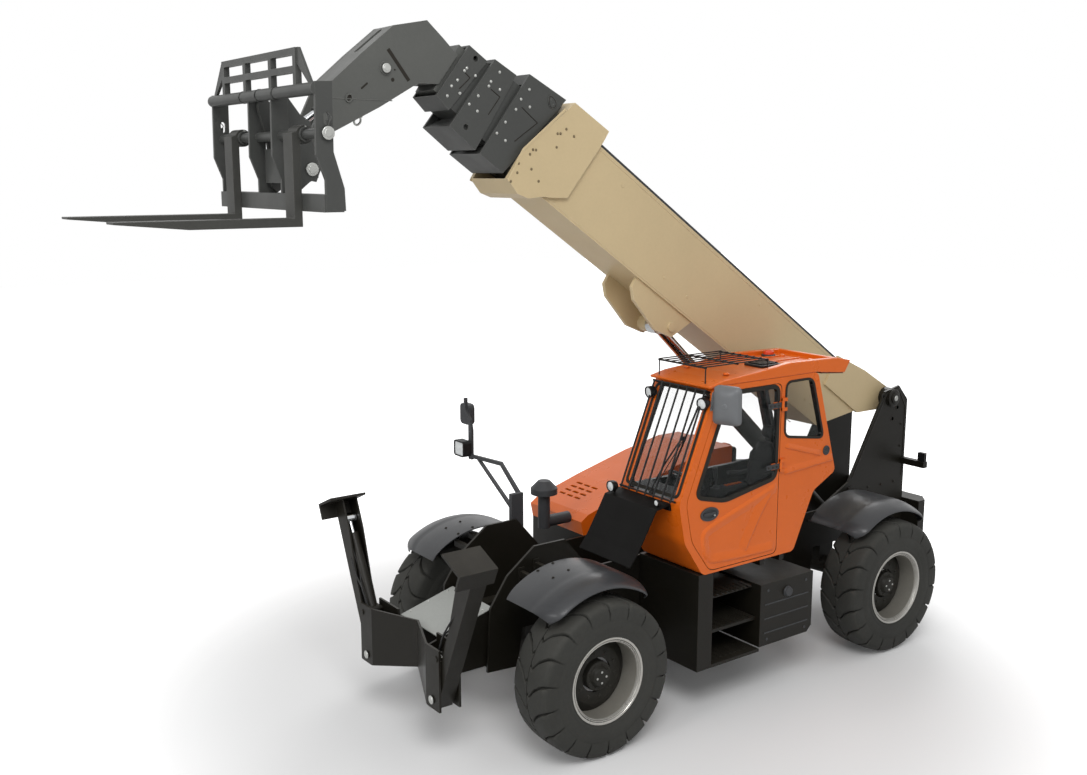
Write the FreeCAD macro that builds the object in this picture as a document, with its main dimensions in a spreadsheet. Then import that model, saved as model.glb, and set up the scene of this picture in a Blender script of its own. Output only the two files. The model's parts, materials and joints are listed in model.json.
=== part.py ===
import FreeCAD, Part
import math
import os

import Sketcher

# A telehandler: a narrow frame on two steered axles, a cab on the left, an engine on the right,
# a telescopic lift arm between them with a fork carriage, and a pair of stabiliser legs in front.
# X points forward, Y to the left and Z up. Places along X are counted from the middle of the
# wheelbase, and mid_x is where that middle lies in the part's own frame.

# Name of a size, and its value in millimetres, degrees or a plain number.
SIZES = (
    # The whole machine
    ("mid_x", -1075),
    ("gap", 0.3),
    ("play", 6),
    ("wheelbase", 3800),
    ("wheel_spread", 2140),
    ("ground_radius", 688),

    # Tyres and rims, across from the wheel's middle plane
    ("tyre_width", 460),
    ("tyre_shoulder", 150),
    ("tyre_flank_radius", 500),
    ("tread_edge_drop", 82),
    ("tyre_bead_half", 217),
    ("bead_rise", 2),
    ("bore_sides", 24),
    ("lug_pairs", 18),
    ("lug_rise", 36),
    ("lug_proud", 4),
    ("lug_width", 146),
    ("lug_skew", 30),
    ("lug_inner_y", 8),
    ("lug_root", 540),
    ("flange_radius", 377),
    ("flange_thick", 12),
    ("seat_radius", 356),
    ("well_thick", 12),
    ("weld_in", 4),
    ("disc_set", -6),
    ("disc_thick", 16),
    ("dish_radius", 250),
    ("dish_depth", 60),
    ("hub_radius", 132),
    ("hub_out", 92),
    ("hub_back", 60),
    ("hub_cap_radius", 88),
    ("hub_cap_rise", 40),
    ("hub_cap_taper", 14),

    # Axles and knuckles
    ("kingpin_y", 800),
    ("kingpin_radius", 30),
    ("kingpin_reach", 205),
    ("yoke_thick", 44),
    ("yoke_radius", 66),
    ("yoke_root_y", 620),
    ("knuckle_radius", 62),
    ("spindle_radius", 112),
    ("axle_tube_radius", 84),
    ("axle_swell", 24),
    ("diff_radius", 165),
    ("diff_half", 170),
    ("diff_flat", 0.6),
    ("saddle_half", 105),
    ("shelf_in", 230),
    ("axle_roof_z", 930),

    # Frame
    ("frame_half", 390),
    ("plate", 25),
    ("belly_z", 480),
    ("belly_inset", 60),
    ("tail_x", -3130),
    ("tail_low_z", 640),
    ("tower_rear_z", 2375),
    ("tower_peak_x", -2971),
    ("tower_peak_z", 2546),
    ("tower_front_x", -2730),
    ("tower_front_z", 2500),
    ("tower_slope_x", -2180),
    ("tower_slope_z", 1560),
    ("rail_rear_x", -1700),
    ("rail_z", 1330),
    ("nose_rise_x", 1400),
    ("nose_top_x", 1680),
    ("nose_top_z", 1650),
    ("nose_edge_x", 2015),
    ("nose_slope_x", 2303),
    ("nose_slope_z", 1435),
    ("nose_front_x", 2482),
    ("nose_front_z", 1174),
    ("frame_front_x", 2518),
    ("frame_front_z", 600),
    ("front_wall_set", 60),
    ("front_wall_z", 1080),
    ("arch_half", 300),
    ("arch_slope", 50),
    ("arch_step", 100),
    ("boss_radius", 105),
    ("boss_thick", 14),
    ("pin_end", 20),
    ("tie_radius", 70),
    ("tie_front_x", 1450),
    ("tie_front_z", 1100),
    ("tie_rear_x", -900),
    ("tie_rear_z", 860),
    ("mount_rear_x", -340),
    ("mount_front_x", -80),
    ("mount_width", 60),
    ("mount_height", 80),
    ("mount_reach", 1150),

    # Tail weight and rear lamp arms
    ("weight_rear_x", -3350),
    ("weight_half", 620),
    ("weight_low_z", 760),
    ("weight_top_z", 1240),
    ("weight_chamfer", 110),
    ("tail_arm_z", 1680),
    ("tail_arm_side", 70),
    ("tail_arm_reach", 700),

    # Front beam of the stabilisers, and its deck
    ("beam_end_x", 3180),
    ("beam_mid_x", 2985),
    ("beam_flat_y", 470),
    ("beam_half", 680),
    ("beam_top_z", 1066),
    ("beam_mid_low_z", 640),
    ("beam_end_low_z", 530),
    ("beam_plate", 20),
    ("beam_depth", 190),
    ("beam_notch", 500),
    ("web_y", 330),
    ("web_toe", 60),
    ("deck_front_x", 2960),
    ("deck_front_z", 1004),
    ("deck_rear_x", 2420),
    ("deck_rear_z", 1150),
    ("deck_thick", 10),

    # Stabiliser legs
    ("leg_pivot_y", 567),
    ("leg_pivot_z", 609),
    ("leg_lean", 24.0),
    ("leg_length", 1400),
    ("leg_below", 66),
    ("leg_width", 150),
    ("leg_back", 60),
    ("leg_depth_low", 110),
    ("leg_depth_high", 175),
    ("leg_swell", 0.45),
    ("leg_swell_end", 0.8),
    ("leg_sheet", 14),
    ("leg_middle_x", 3078),
    ("foot_back", 125),
    ("foot_front", 225),
    ("foot_width", 260),
    ("foot_thick", 22),
    ("foot_wall", 130),
    ("leg_pin_radius", 24),
    ("brace_pin_y", 640),
    ("brace_pin_z", 985),
    ("brace_eye_up", 1235),
    ("brace_eye_in", 75),
    ("brace_eye_radius", 47),
    ("brace_barrel_radius", 50),
    ("brace_rod_radius", 26),
    ("brace_barrel_length", 720),

    # Lift arm: along it from its pivot, and up from its axis
    ("arm_pivot_x", -2860),
    ("arm_pivot_z", 2420),
    ("arm_angle", 34.0),
    ("arm_pin_radius", 52),
    ("arm_bottom", -765),
    ("arm_top", -50),
    ("arm_half", 245),
    ("arm_wall", 16),
    ("arm_rear", 255),
    ("arm_rear_low", -300),
    ("arm_slope", 520),
    ("arm_front", 5350),
    ("ear_thick", 30),
    ("collar_half", 285),
    ("collar_thick", 20),
    ("section_gap", 12),
    ("section_gap_top", 18),
    ("section_gap_low", 26),
    ("section_wall", 12),
    ("section_rear", 900),
    ("section_step", 60),
    ("pad_length", 120),
    ("pad_set", 10),
    ("pad_corner", 30),
    ("pad_height", 80),
    ("bracket_pin", 3189),
    ("bracket_pin_drop", -928),
    ("bracket_half", 220),
    ("bracket_plate", 40),
    ("bracket_boss_radius", 78),
    ("lift_pin_radius", 45),
    ("lift_base_x", -2200),
    ("lift_base_z", 1150),
    ("lift_boss_radius", 79),
    ("lift_barrel_radius", 98),
    ("lift_barrel_length", 2050),
    ("lift_rod_radius", 50),
    ("lift_rod_start", 900),
    ("lift_eye_radius", 92),
    ("lift_eye_half", 80),
    ("lift_rod_eye_radius", 85),
    ("lift_rod_eye_half", 60),
    ("hose_strip_width", 150),
    ("hose_strip_height", 46),
    ("hose_strip_rear", 515),
    ("hose_strip_front", 4857),

    # Goose neck at the arm's end, and the coupler
    ("head_show", 60),
    ("head_cap", 30),
    ("neck_half", 160),
    ("neck_wall", 28),
    ("neck_slot_half", 30),
    ("neck_slot_low", -735),
    ("neck_slot_high", -450),
    ("neck_slot_start", 6925),
    ("neck_slot_end", 7150),
    ("collar_hole_radius", 24),
    ("coupler_along", 6997),
    ("coupler_up", -1737),
    ("coupler_boss_radius", 66),
    ("coupler_pin_radius", 40),
    ("coupler_pin_half", 205),
    ("coupler_plate", 30),
    ("coupler_cross_x", 180),
    ("coupler_cross_low", -100),
    ("coupler_cross_top", 150),
    ("coupler_lug_plate", 30),
    ("tilt_base_along", 6882),
    ("tilt_base_up", -735),
    ("tilt_boss_radius", 50),
    ("tilt_eye_x", 53),
    ("tilt_eye_z", 295),
    ("tilt_eye_radius", 52),
    ("tilt_eye_half", 40),
    ("tilt_pin_radius", 28),
    ("tilt_barrel_radius", 44),
    ("tilt_barrel_length", 625),
    ("tilt_rod_radius", 28),
    ("tilt_rod_start", 272),

    # Fork carriage and forks, from the coupler's pin
    ("shaft_x", 233),
    ("shaft_z", 240),
    ("shaft_half", 973),
    ("shaft_radius", 36),
    ("tube_x", 299),
    ("tube_z", 534),
    ("tube_half", 951),
    ("tube_radius", 44),
    ("cheek_y", 952),
    ("cheek_thick", 24),
    ("cheek_slot_low", 292),
    ("cheek_slot_high", 376),
    ("cheek_slot_half", 20),
    ("wing_low_y", 920),
    ("wing_top_y", 700),
    ("guard_top_z", 821),
    ("guard_half", 678),
    ("guard_bar", 46),
    ("guard_post_share", 0.36),
    ("low_beam_x", 269),
    ("low_beam_z", -233),
    ("low_beam_depth", 150),
    ("low_beam_height", 120),
    ("fork_stand", 0.3),
    ("fork_thick", 62),
    ("fork_width", 152),
    ("fork_top_z", 270),
    ("fork_slope", 20),
    ("fork_low_z", -403),
    ("fork_tip_x", 1588),
    ("fork_tip_thick", 16),
    ("fork_taper", 500),
    ("fork_ring_radius", 66),
    ("fork_left_y", 523),
    ("fork_right_y", -595),

    # Cab
    ("cab_out", 1200),
    ("cab_in", 420),
    ("cab_wall", 45),
    ("sill_z", 1350),
    ("sill_front_x", 760),
    ("sill_rear_x", -410),
    ("sill_step", 25),
    ("knee_x", 985),
    ("knee_z", 1680),
    ("brow_x", 1060),
    ("brow_z", 2040),
    ("head_x", 650),
    ("head_z", 3040),
    ("rear_head_x", -664),
    ("rear_waist_x", -965),
    ("rear_waist_z", 2050),
    ("rear_knee_x", -664),
    ("rear_knee_z", 1900),
    ("post_x", -180),
    ("post_width", 55),
    ("window_edge", 85),
    ("cab_soft", 45),
    ("door_soft", 60),
    ("window_soft", 70),
    ("quarter_front_z", 2479),
    ("quarter_rear_z", 2400),
    ("roof_lip", 62),
    ("roof_floor_z", 3105),
    ("roof_top_z", 3180),
    ("roof_dish_rear_x", -900),
    ("roof_dish_front_x", 520),
    ("roof_seat", 0.3),
    ("glass_thick", 8),
    ("door_gap", 6),
    ("door_frame", 80),
    ("door_rail", 50),
    ("pillar_rail", 105),
    ("window_front_z", 2085),
    ("window_dip_x", 509),
    ("window_dip_z", 2002),
    ("window_rear_z", 2114),
    ("hinge_radius", 16),
    ("hinge_pin_radius", 8),
    ("hinge_half", 30),
    ("hinge_leaf", 110),
    ("hinge_sheet", 8),
    ("hinge_low_z", 2216),
    ("hinge_high_z", 2789),
    ("seat_x", -190),
    ("seat_y", 810),
    ("seat_width", 480),
    ("seat_base_z", 1730),
    ("board_set", 60),
    ("helm_x", 620),
    ("helm_z", 2120),
    ("helm_lean", 35.0),
    ("helm_radius", 180),
    ("helm_grip", 14),
    ("helm_column", 110),
    ("guard_rods", 7),
    ("guard_rod_radius", 9),
    ("guard_margin", 60),
    ("guard_stand", 60),
    ("guard_drop", 60),
    ("roof_rods", 8),
    ("roof_rod_radius", 6),
    ("roof_rods_in", 500),
    ("roof_cross_drop", 8),
    ("roof_rods_out", 1100),
    ("roof_rods_front_x", 700),
    ("roof_rods_rear_x", -90),
    ("roof_rods_z", 3205),

    # Front cowl, fenders, tank and steps
    ("cowl_out", 1090),
    ("cowl_sheet", 12),
    ("cowl_flange", 70),
    ("fender_radius", 880),
    ("fender_lip_radius", 802),
    ("fender_sheet", 14),
    ("fender_in", 600),
    ("fender_crown_y", 1030),
    ("fender_out", 1250),
    ("fender_sweep", 84.0),
    ("fender_arm", 40),
    ("fender_arm_wide", 60),
    ("tank_out", 1195),
    ("tank_low_z", 480),
    ("tank_top_z", 1090),
    ("tank_rear_x", -720),
    ("tank_front_x", 0),
    ("tank_slope", 60),
    ("step_front_x", 620),
    ("step_panel_x", 800),
    ("step_low_z", 440),
    ("step_rise", 300),
    ("step_inset", 60),
    ("step_sheet", 30),

    # Engine side
    ("pod_out", 1250),
    ("pod_front_x", 860),
    ("pod_rear_x", -1020),
    ("pod_low_z", 620),
    ("pod_wall", 40),
    ("hood_rear_x", -1180),
    ("hood_low_z", 1330),
    ("hood_nose_z", 1530),
    ("hood_bulge", 30),
    ("hood_rise_x", 270),
    ("hood_rise_z", 1690),
    ("hood_crest_x", -400),
    ("hood_crest_z", 1865),
    ("hood_top_z", 1960),
    ("hood_flat", 300),
    ("hood_sheet", 12),
    ("hood_hinge_radius", 20),
    ("hood_hinge_lug", 40),
    ("hood_hinge_set", 130),
    ("hood_hinge_reach", 1150),
    ("hood_post_width", 60),
    ("hood_post_low_z", 1150),
    ("engine_length", 1150),
    ("engine_width", 560),
    ("engine_height", 780),
    ("stack_x", 1190),
    ("stack_y", -600),
    ("stack_elbow_z", 1480),
    ("stack_radius", 60),
    ("stack_elbow_radius", 58),
    ("stack_cap_z", 310),
    ("stack_cap_radius", 132),
    ("stack_cap_height", 110),
    ("stack_skirt", 22),
    ("stack_sheet", 6),
    ("louvre_rows", 4),
    ("louvre_columns", 3),
    ("louvre_x", 385),
    ("louvre_pitch", 75),
    ("louvre_y", -920),
    ("louvre_width", 28),
    ("louvre_length", 96),
    ("louvre_step", 125),

    # Mirrors
    ("mirror_tube", 15),
    ("mirror_half", 1500),
    ("mirror_depth", 80),
    ("mirror_foot", 68),
    ("mirror_left_x", 715),
    ("mirror_left_z", 2905),
    ("mirror_left_near", 100),
    ("mirror_left_height", 350),
    ("mirror_soft", 45),
    ("mirror_right_x", 1600),
    ("mirror_right_z", 1440),
    ("mirror_right_width", 170),
    ("mirror_right_height", 210),
    ("mirror_right_drop", 0.75),
    ("mirror_bracket", 120),
    ("mirror_bracket_top", 450),

    # Lamps
    ("lamp_count", 5),
    ("lamp_soft", 16),
)

# Outlines, each with its corners in order: along and up on the lift arm for those of the arm,
# from the coupler's pin for those of the coupler and the carriage, along X and Z for the rest.
CORNERS = (
    ("ear", ((-115, 30), (-75, -115), (295, -360), (955, -360), (955, -10), (473, 74), (-75, 115))),
    ("collar_1", ((4877, -17), (4877, 90), (5317, 72), (5530, -544), (5545, -845), (5390, -892), (5280, -865),
                  (5156, -765), (5096, -735), (4937, -635))),
    ("collar_lid", ((4877, -51), (4877, 90), (5317, 72), (5349, -51))),
    ("collar_shoe", ((5156, -764), (5349, -764), (5545, -845), (5390, -892), (5280, -865))),
    ("collar_2", ((5378, 58), (5803, 7), (5854, -812), (5579, -815))),
    ("collar_3", ((5893, -69), (6133, -91), (6197, -785), (5892, -803))),
    ("collar_4", ((6170, -138), (6378, -138), (6415, -645), (6258, -675))),
    ("collar_holes", ((6067, -703), (6273, -190))),
    ("roof", ((726, 3024), (738, 3048), (560, 3085), (75, 3125), (-300, 3165), (-940, 3150), (-1121, 3110),
              (-1044, 2997), (-720, 3030))),
    ("bracket", ((2986, -755), (3129, -1006), (3349, -1051), (3730, -951), (3820, -865), (3820, -755))),
    ("neck", ((6411, -259), (6586, -230), (6780, -206), (6995, -422), (7101, -757), (7191, -1079), (7113, -1704),
              (7027, -1832), (6902, -1785), (6977, -1383), (6761, -1007), (6584, -654), (6432, -551))),
    ("neck_roof", ((6425, -257), (6586, -231), (6779, -207), (6994, -422), (7100, -757), (7190, -1079), (7161, -1080),
                   (7072, -764), (6968, -436), (6768, -238), (6588, -261), (6425, -287))),
    ("neck_floor", ((6433, -550), (6583, -653), (6760, -1006), (6787, -992), (6608, -634), (6443, -524))),
    ("coupler_cheek", ((-52, -63), (18, -93), (118, -173), (163, -133), (178, 107), (190, 240), (248, 437), (253, 527),
                       (178, 527), (78, 397), (-2, 347), (-12, 207), (-62, 67))),
    ("coupler_lug", ((10, 270), (18, 330), (60, 350), (110, 320), (205, 140), (205, 20), (182, 20), (90, 200))),
    ("cheek", ((310, 580), (181, 586), (187, 114), (112, -132), (106, -285), (253, -292), (253, -74), (318, 93))),
    ("cowl", ((1230, 2005), (1330, 1830), (1440, 1650), (1525, 1545))),
    ("fender_arms_front", ((100, 1506), (260, 1460))),
    ("fender_arms_rear", ((-300, 1475), (-440, 1420))),
    ("seat", ((-60, 1730), (-50, 1820), (-420, 1850), (-540, 2500), (-630, 2500), (-555, 1850), (-500, 1730))),
    ("dashboard", ((650, 1700), (850, 1660), (985, 2040), (800, 2090), (732.4, 2064.1), (634.1, 1995.2))),
    ("mirror_arm", ((-20, 340), (-20, 430), (-345, 680), (-890, 650), (-890, 615), (-350, 642), (-55, 405), (-55, 340))),
    ("mirror_strut", ((-10, 180), (-745, 640), (-790, 640), (-40, 160))),
    ("mirror_mast", ((-860, 600), (-860, 900), (-885, 1000), (-965, 1090), (-965, 1210), (-995, 1210), (-995, 1080),
                     (-915, 990), (-915, 600))),
)

# Lamps: rear end, middle across and up, and their depth, width and height.
LAMPS = (
    ("1", 1150, 450, 2076.8, 70, 100, 110),
    ("2", 1150, 1040, 2051.8, 40, 70, 60),
    ("3", 1615.3, -1310, 2160, 130, 180, 160),
    ("4", -3129, 655, 1765, 60, 90, 99),
    ("5", -3129, -655, 1765, 60, 90, 99),
)


class Size(float):
    """A number that keeps the expression it comes from, so that it can be tied to the sheet."""

    def __new__(cls, value, text):
        number = float.__new__(cls, value)
        number.text = text
        return number

    def joined(self, other, sign, value, swapped=False):
        first, second = (written(other), self.text) if swapped else (self.text, written(other))
        return Size(value, f"({first} {sign} {second})")

    def __add__(self, other):
        return self.joined(other, "+", float(self) + float(other))

    def __radd__(self, other):
        return self.joined(other, "+", float(other) + float(self), True)

    def __sub__(self, other):
        return self.joined(other, "-", float(self) - float(other))

    def __rsub__(self, other):
        return self.joined(other, "-", float(other) - float(self), True)

    def __mul__(self, other):
        return self.joined(other, "*", float(self) * float(other))

    def __rmul__(self, other):
        return self.joined(other, "*", float(other) * float(self), True)

    def __truediv__(self, other):
        return self.joined(other, "/", float(self) / float(other))


def written(value):
    return value.text if isinstance(value, Size) else repr(float(value))


def sine(angle):
    return Size(math.sin(math.radians(angle)), f"sin({written(angle)})")


def cosine(angle):
    return Size(math.cos(math.radians(angle)), f"cos({written(angle)})")


def distance(across, along):
    return Size(math.hypot(across, along), f"hypot({written(across)}; {written(along)})")


def leg_of(longest, other):
    """The third side of a right-angled triangle, from its longest side and one other."""
    text = f"sqrt(({written(longest)}) * ({written(longest)}) - ({written(other)}) * ({written(other)}))"
    return Size(math.sqrt(longest * longest - other * other), text)


def bearing(across, along):
    """Angle of a run away from the direction that its second part is measured in."""
    return Size(math.degrees(math.atan2(across, along)), f"atan2({written(across)}; {written(along)})")


class Sheet:
    """The driving sizes, each one a cell of the spreadsheet with its name as alias."""

    def __init__(self):
        self.cells = doc.addObject("Spreadsheet::Sheet", "Sizes")
        self.row = 0
        for name, value in SIZES:
            self.cell(name, value)
        for name, places in CORNERS:
            for index, (first, second) in enumerate(places, start=1):
                self.cell(f"{name}_along_{index}", first)
                self.cell(f"{name}_up_{index}", second)
        for number, *values in LAMPS:
            for part, value in zip(("x", "y", "z", "deep", "wide", "high"), values):
                self.cell(f"lamp_{number}_{part}", value)
        self.cells.recompute()

    def cell(self, name, value):
        self.row += 1
        self.cells.set(f"A{self.row}", name)
        self.cells.set(f"B{self.row}", str(value))
        self.cells.setAlias(f"B{self.row}", name)
        setattr(self, name, Size(value, f"Sizes.{name}"))


doc = FreeCAD.newDocument("telehandler")
S = Sheet()
pieces = []

LEFT, RIGHT = 1, -1
HALF_TURN = 180
SIDES = (("l", LEFT), ("r", RIGHT))
# Direction of a feature, its sketch plane, and the sign of that plane's normal.
PLANES = {"x": ("YZ_Plane", 1), "y": ("XZ_Plane", -1), "z": ("XY_Plane", 1)}


def corners(name):
    """The corners of one of the outlines, tied to the sheet."""
    count = len(dict(CORNERS)[name])
    return [(getattr(S, f"{name}_along_{index}"), getattr(S, f"{name}_up_{index}")) for index in range(1, count + 1)]


def between(sign, near, far):
    """A span away from the middle plane, to the left or to the right, low end first."""
    return (near, far) if sign == LEFT else (-1 * far, -1 * near)


def tie(item, path, value):
    """Binds a property or a constraint to the sheet where its value comes from there."""
    if isinstance(value, Size):
        item.setExpression(path, value.text)


class Piece:
    """One sub-part: a body whose features are sketched on planes across X, Y or Z."""

    def __init__(self, label, at=(0, 0, 0), axis=(0, 1, 0), angle=0, mid=True, alone=True):
        self.body = doc.addObject("PartDesign::Body", label)
        self.body.Label = label
        self.label = label
        x, y, z = at
        if mid:
            x = x + S.mid_x
        turn = FreeCAD.Rotation(FreeCAD.Vector(*axis), float(angle))
        self.body.Placement = FreeCAD.Placement(FreeCAD.Vector(float(x), float(y), float(z)), turn)
        tie(self.body, "Placement.Base.x", x)
        tie(self.body, "Placement.Base.y", y)
        tie(self.body, "Placement.Base.z", z)
        if angle:
            tie(self.body, "Placement.Rotation.Angle", angle)
        self.count = 0
        self.cuts = []
        if alone:
            pieces.append(self)

    def sketch(self, way, level):
        self.count += 1
        plane, sign = PLANES[way]
        item = self.body.newObject("Sketcher::SketchObject", f"{self.label}_s{self.count}")
        support = [one for one in self.body.Origin.OriginFeatures if one.Role == plane]
        item.AttachmentSupport = [(support[0], "")]
        item.MapMode = "FlatFace"
        offset = level if sign > 0 else -1 * level
        item.AttachmentOffset = FreeCAD.Placement(FreeCAD.Vector(0, 0, float(offset)), FreeCAD.Rotation())
        tie(item, "AttachmentOffset.Base.z", offset)
        return item

    def place(self, item, geometry, point, where):
        """Fixes one point of a sketch at its distances from the origin."""
        for kind, value in (("DistanceX", where[0]), ("DistanceY", where[1])):
            index = item.addConstraint(Sketcher.Constraint(kind, -1, 1, geometry, point, float(value)))
            tie(item, f"Constraints[{index}]", value)

    def outline(self, way, points, level):
        """A closed outline of straight runs."""
        item = self.sketch(way, level)
        ends = [FreeCAD.Vector(float(a), float(b), 0) for a, b in points]
        for index, end in enumerate(ends):
            item.addGeometry(Part.LineSegment(end, ends[(index + 1) % len(ends)]))
        for index in range(len(ends)):
            item.addConstraint(Sketcher.Constraint("Coincident", index, 2, (index + 1) % len(ends), 1))
        for index, where in enumerate(points):
            self.place(item, index, 1, where)
        return item

    def rounded(self, way, points, level, soft):
        """A closed outline whose corners turn in arcs that start at a given distance from each corner."""
        item, count, bends = self.sketch(way, level), len(points), []
        for index, corner in enumerate(points):
            ends = []
            for other in (points[index - 1], points[(index + 1) % count]):
                across, along = other[0] - corner[0], other[1] - corner[1]
                share = soft / distance(across, along)
                ends.append((corner[0] + across * share, corner[1] + along * share))
            bends.append(ends)
        for index in range(count):
            start, stop = bends[index][1], bends[(index + 1) % count][0]
            item.addGeometry(Part.LineSegment(flat(start), flat(stop)))
            self.place(item, index, 1, start)
            self.place(item, index, 2, stop)
        for index, corner in enumerate(points):
            first, last = bends[index]
            chord = (flat(first) + flat(last)) * 0.5 - flat(corner)
            half = math.acos(min(1.0, chord.Length / float(soft)))
            middle = flat(corner) + chord * (1 / (1 + math.sin(half)))
            item.addGeometry(Part.Arc(flat(first), middle, flat(last)))
            left = (flat(corner) - flat(first)).cross(flat(last) - flat(corner)).z > 0
            near, far = (1, 2) if left else (2, 1)
            before = (index - 1) % count
            item.addConstraint(Sketcher.Constraint("Tangent", before, 2, count + index, near))
            item.addConstraint(Sketcher.Constraint("Coincident", count + index, far, index, 1))
        return item

    def disc(self, way, centre, radius, level, hole=None):
        """A circle, or a ring where a hole is given."""
        item = self.sketch(way, level)
        for index, size in enumerate([radius] if hole is None else [radius, hole]):
            middle = FreeCAD.Vector(float(centre[0]), float(centre[1]), 0)
            item.addGeometry(Part.Circle(middle, FreeCAD.Vector(0, 0, 1), float(size)))
            self.place(item, index, 3, centre)
            rule = item.addConstraint(Sketcher.Constraint("Radius", index, float(size)))
            tie(item, f"Constraints[{rule}]", size)
        return item

    def feature(self, kind, sketch, way, start, end):
        """Pads or pockets a sketch from one level to the next along its direction."""
        item = self.body.newObject(f"PartDesign::{kind}", f"{self.label}_f{self.count}")
        item.Profile = sketch
        item.Length = float(end - start)
        tie(item, "Length", end - start)
        sketch.Visibility = False
        if kind == "Pocket":
            self.cuts.append(item)
        return item

    def level(self, way, start, end, cutting):
        """The level that a sketch starts from, so that its feature runs from start to end."""
        forward = PLANES[way][1] > 0
        return start if forward != cutting else end

    def drawn(self, way, points, level, soft):
        return self.rounded(way, points, level, soft) if soft else self.outline(way, points, level)

    def pad(self, way, points, start, end, soft=None):
        sketch = self.drawn(way, points, self.level(way, start, end, False), soft)
        return self.feature("Pad", sketch, way, start, end)

    def cut(self, way, points, start, end, soft=None):
        sketch = self.drawn(way, points, self.level(way, start, end, True), soft)
        return self.feature("Pocket", sketch, way, start, end)

    def rod(self, way, centre, radius, start, end, hole=None):
        sketch = self.disc(way, centre, radius, self.level(way, start, end, False), hole)
        return self.feature("Pad", sketch, way, start, end)

    def bore(self, way, centre, radius, start, end):
        sketch = self.disc(way, centre, radius, self.level(way, start, end, True))
        return self.feature("Pocket", sketch, way, start, end)

    def swept(self, points, level, height, angle):
        """A profile across X, turned by an angle about a line along Y at a given height."""
        item = self.outline("x", points, level)
        axis = item.addGeometry(Part.LineSegment(flat((-1, height)), flat((1, height))), True)
        self.place(item, axis, 1, (-1, height))
        self.place(item, axis, 2, (1, height))
        turn = self.body.newObject("PartDesign::Revolution", f"{self.label}_f{self.count}")
        turn.Profile = item
        turn.ReferenceAxis = (item, ["Axis0"])
        turn.Angle = float(angle)
        tie(turn, "Angle", angle)
        turn.Midplane = True
        item.Visibility = False
        return turn

    def turned(self, points, axis="Y_Axis", way="x"):
        """A profile turned about one of the body's own axes."""
        sketch = self.outline(way, points, 0)
        item = self.body.newObject("PartDesign::Revolution", f"{self.label}_f{self.count}")
        item.Profile = sketch
        line = [one for one in self.body.Origin.OriginFeatures if one.Role == axis]
        item.ReferenceAxis = (line[0], [""])
        item.Angle = 360
        sketch.Visibility = False
        return item


def flat(point):
    return FreeCAD.Vector(float(point[0]), float(point[1]), 0)


def box(low, high):
    """The four corners of an upright rectangle, from its low and its high corner."""
    return ((low[0], low[1]), (high[0], low[1]), (high[0], high[1]), (low[0], high[1]))


def axle_places():
    return (("front", S.wheelbase / 2), ("rear", -1 * S.wheelbase / 2))


def wheels():
    """A tyre and a rim at each end of both axles, each built about its own middle."""
    form = tyre_form()
    for end, x in axle_places():
        for side, sign in SIDES:
            at = (x, sign * S.wheel_spread / 2, S.ground_radius)
            tyre(f"tyre_{end}_{side}", at, form)
            rim(f"rim_{end}_{side}", at, 0 if sign == LEFT else 180)


class Made:
    """A sub-part put together from Part objects."""

    def __init__(self, label, item):
        item.Label = label
        self.label = label
        self.body = item
        self.cuts = []
        pieces.append(self)


def joined(kind, name, **links):
    item = doc.addObject(kind, name)
    for key, value in links.items():
        setattr(item, key, value)
    return item


def rolled(item, angle, at=(0, 0, 0)):
    """Turns an object about a wheel's axis and moves it to a place."""
    turn = FreeCAD.Rotation(FreeCAD.Vector(0, 1, 0), float(angle))
    item.Placement = FreeCAD.Placement(FreeCAD.Vector(*(float(value) for value in at)), turn)
    for axis, value in zip("xyz", at):
        tie(item, f"Placement.Base.{axis}", value)
    tie(item, "Placement.Rotation.Angle", angle)
    return item


def faceted(name, rows, sides, roll=0):
    """A solid of flat facets through rings, each given by its place across and the radius of its flats."""
    rings = []
    for across, radius in rows:
        reach, ring = radius / cosine(HALF_TURN / sides), []
        for index in range(int(sides)):
            angle = roll + index * 2 * HALF_TURN / sides
            ring.append(FreeCAD.Vector(float(reach * sine(angle)), float(across), float(reach * cosine(angle))))
        rings.append(ring)
    facets = [rings[0], rings[-1]]
    for near, far in zip(rings, rings[1:]):
        for index in range(int(sides)):
            facets.append([near[index], near[index - 1], far[index - 1], far[index]])
    faces = [Part.Face(Part.makePolygon(facet + facet[:1])) for facet in facets]
    item = doc.addObject("Part::Feature", name)
    item.Shape = Part.makeSolid(Part.makeShell(faces))
    return item


def both_sides(rows):
    """The rows of one side, and before them the same ones on the other side."""
    return [(-1 * across, radius) for across, radius in rows] + list(reversed(rows))


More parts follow.
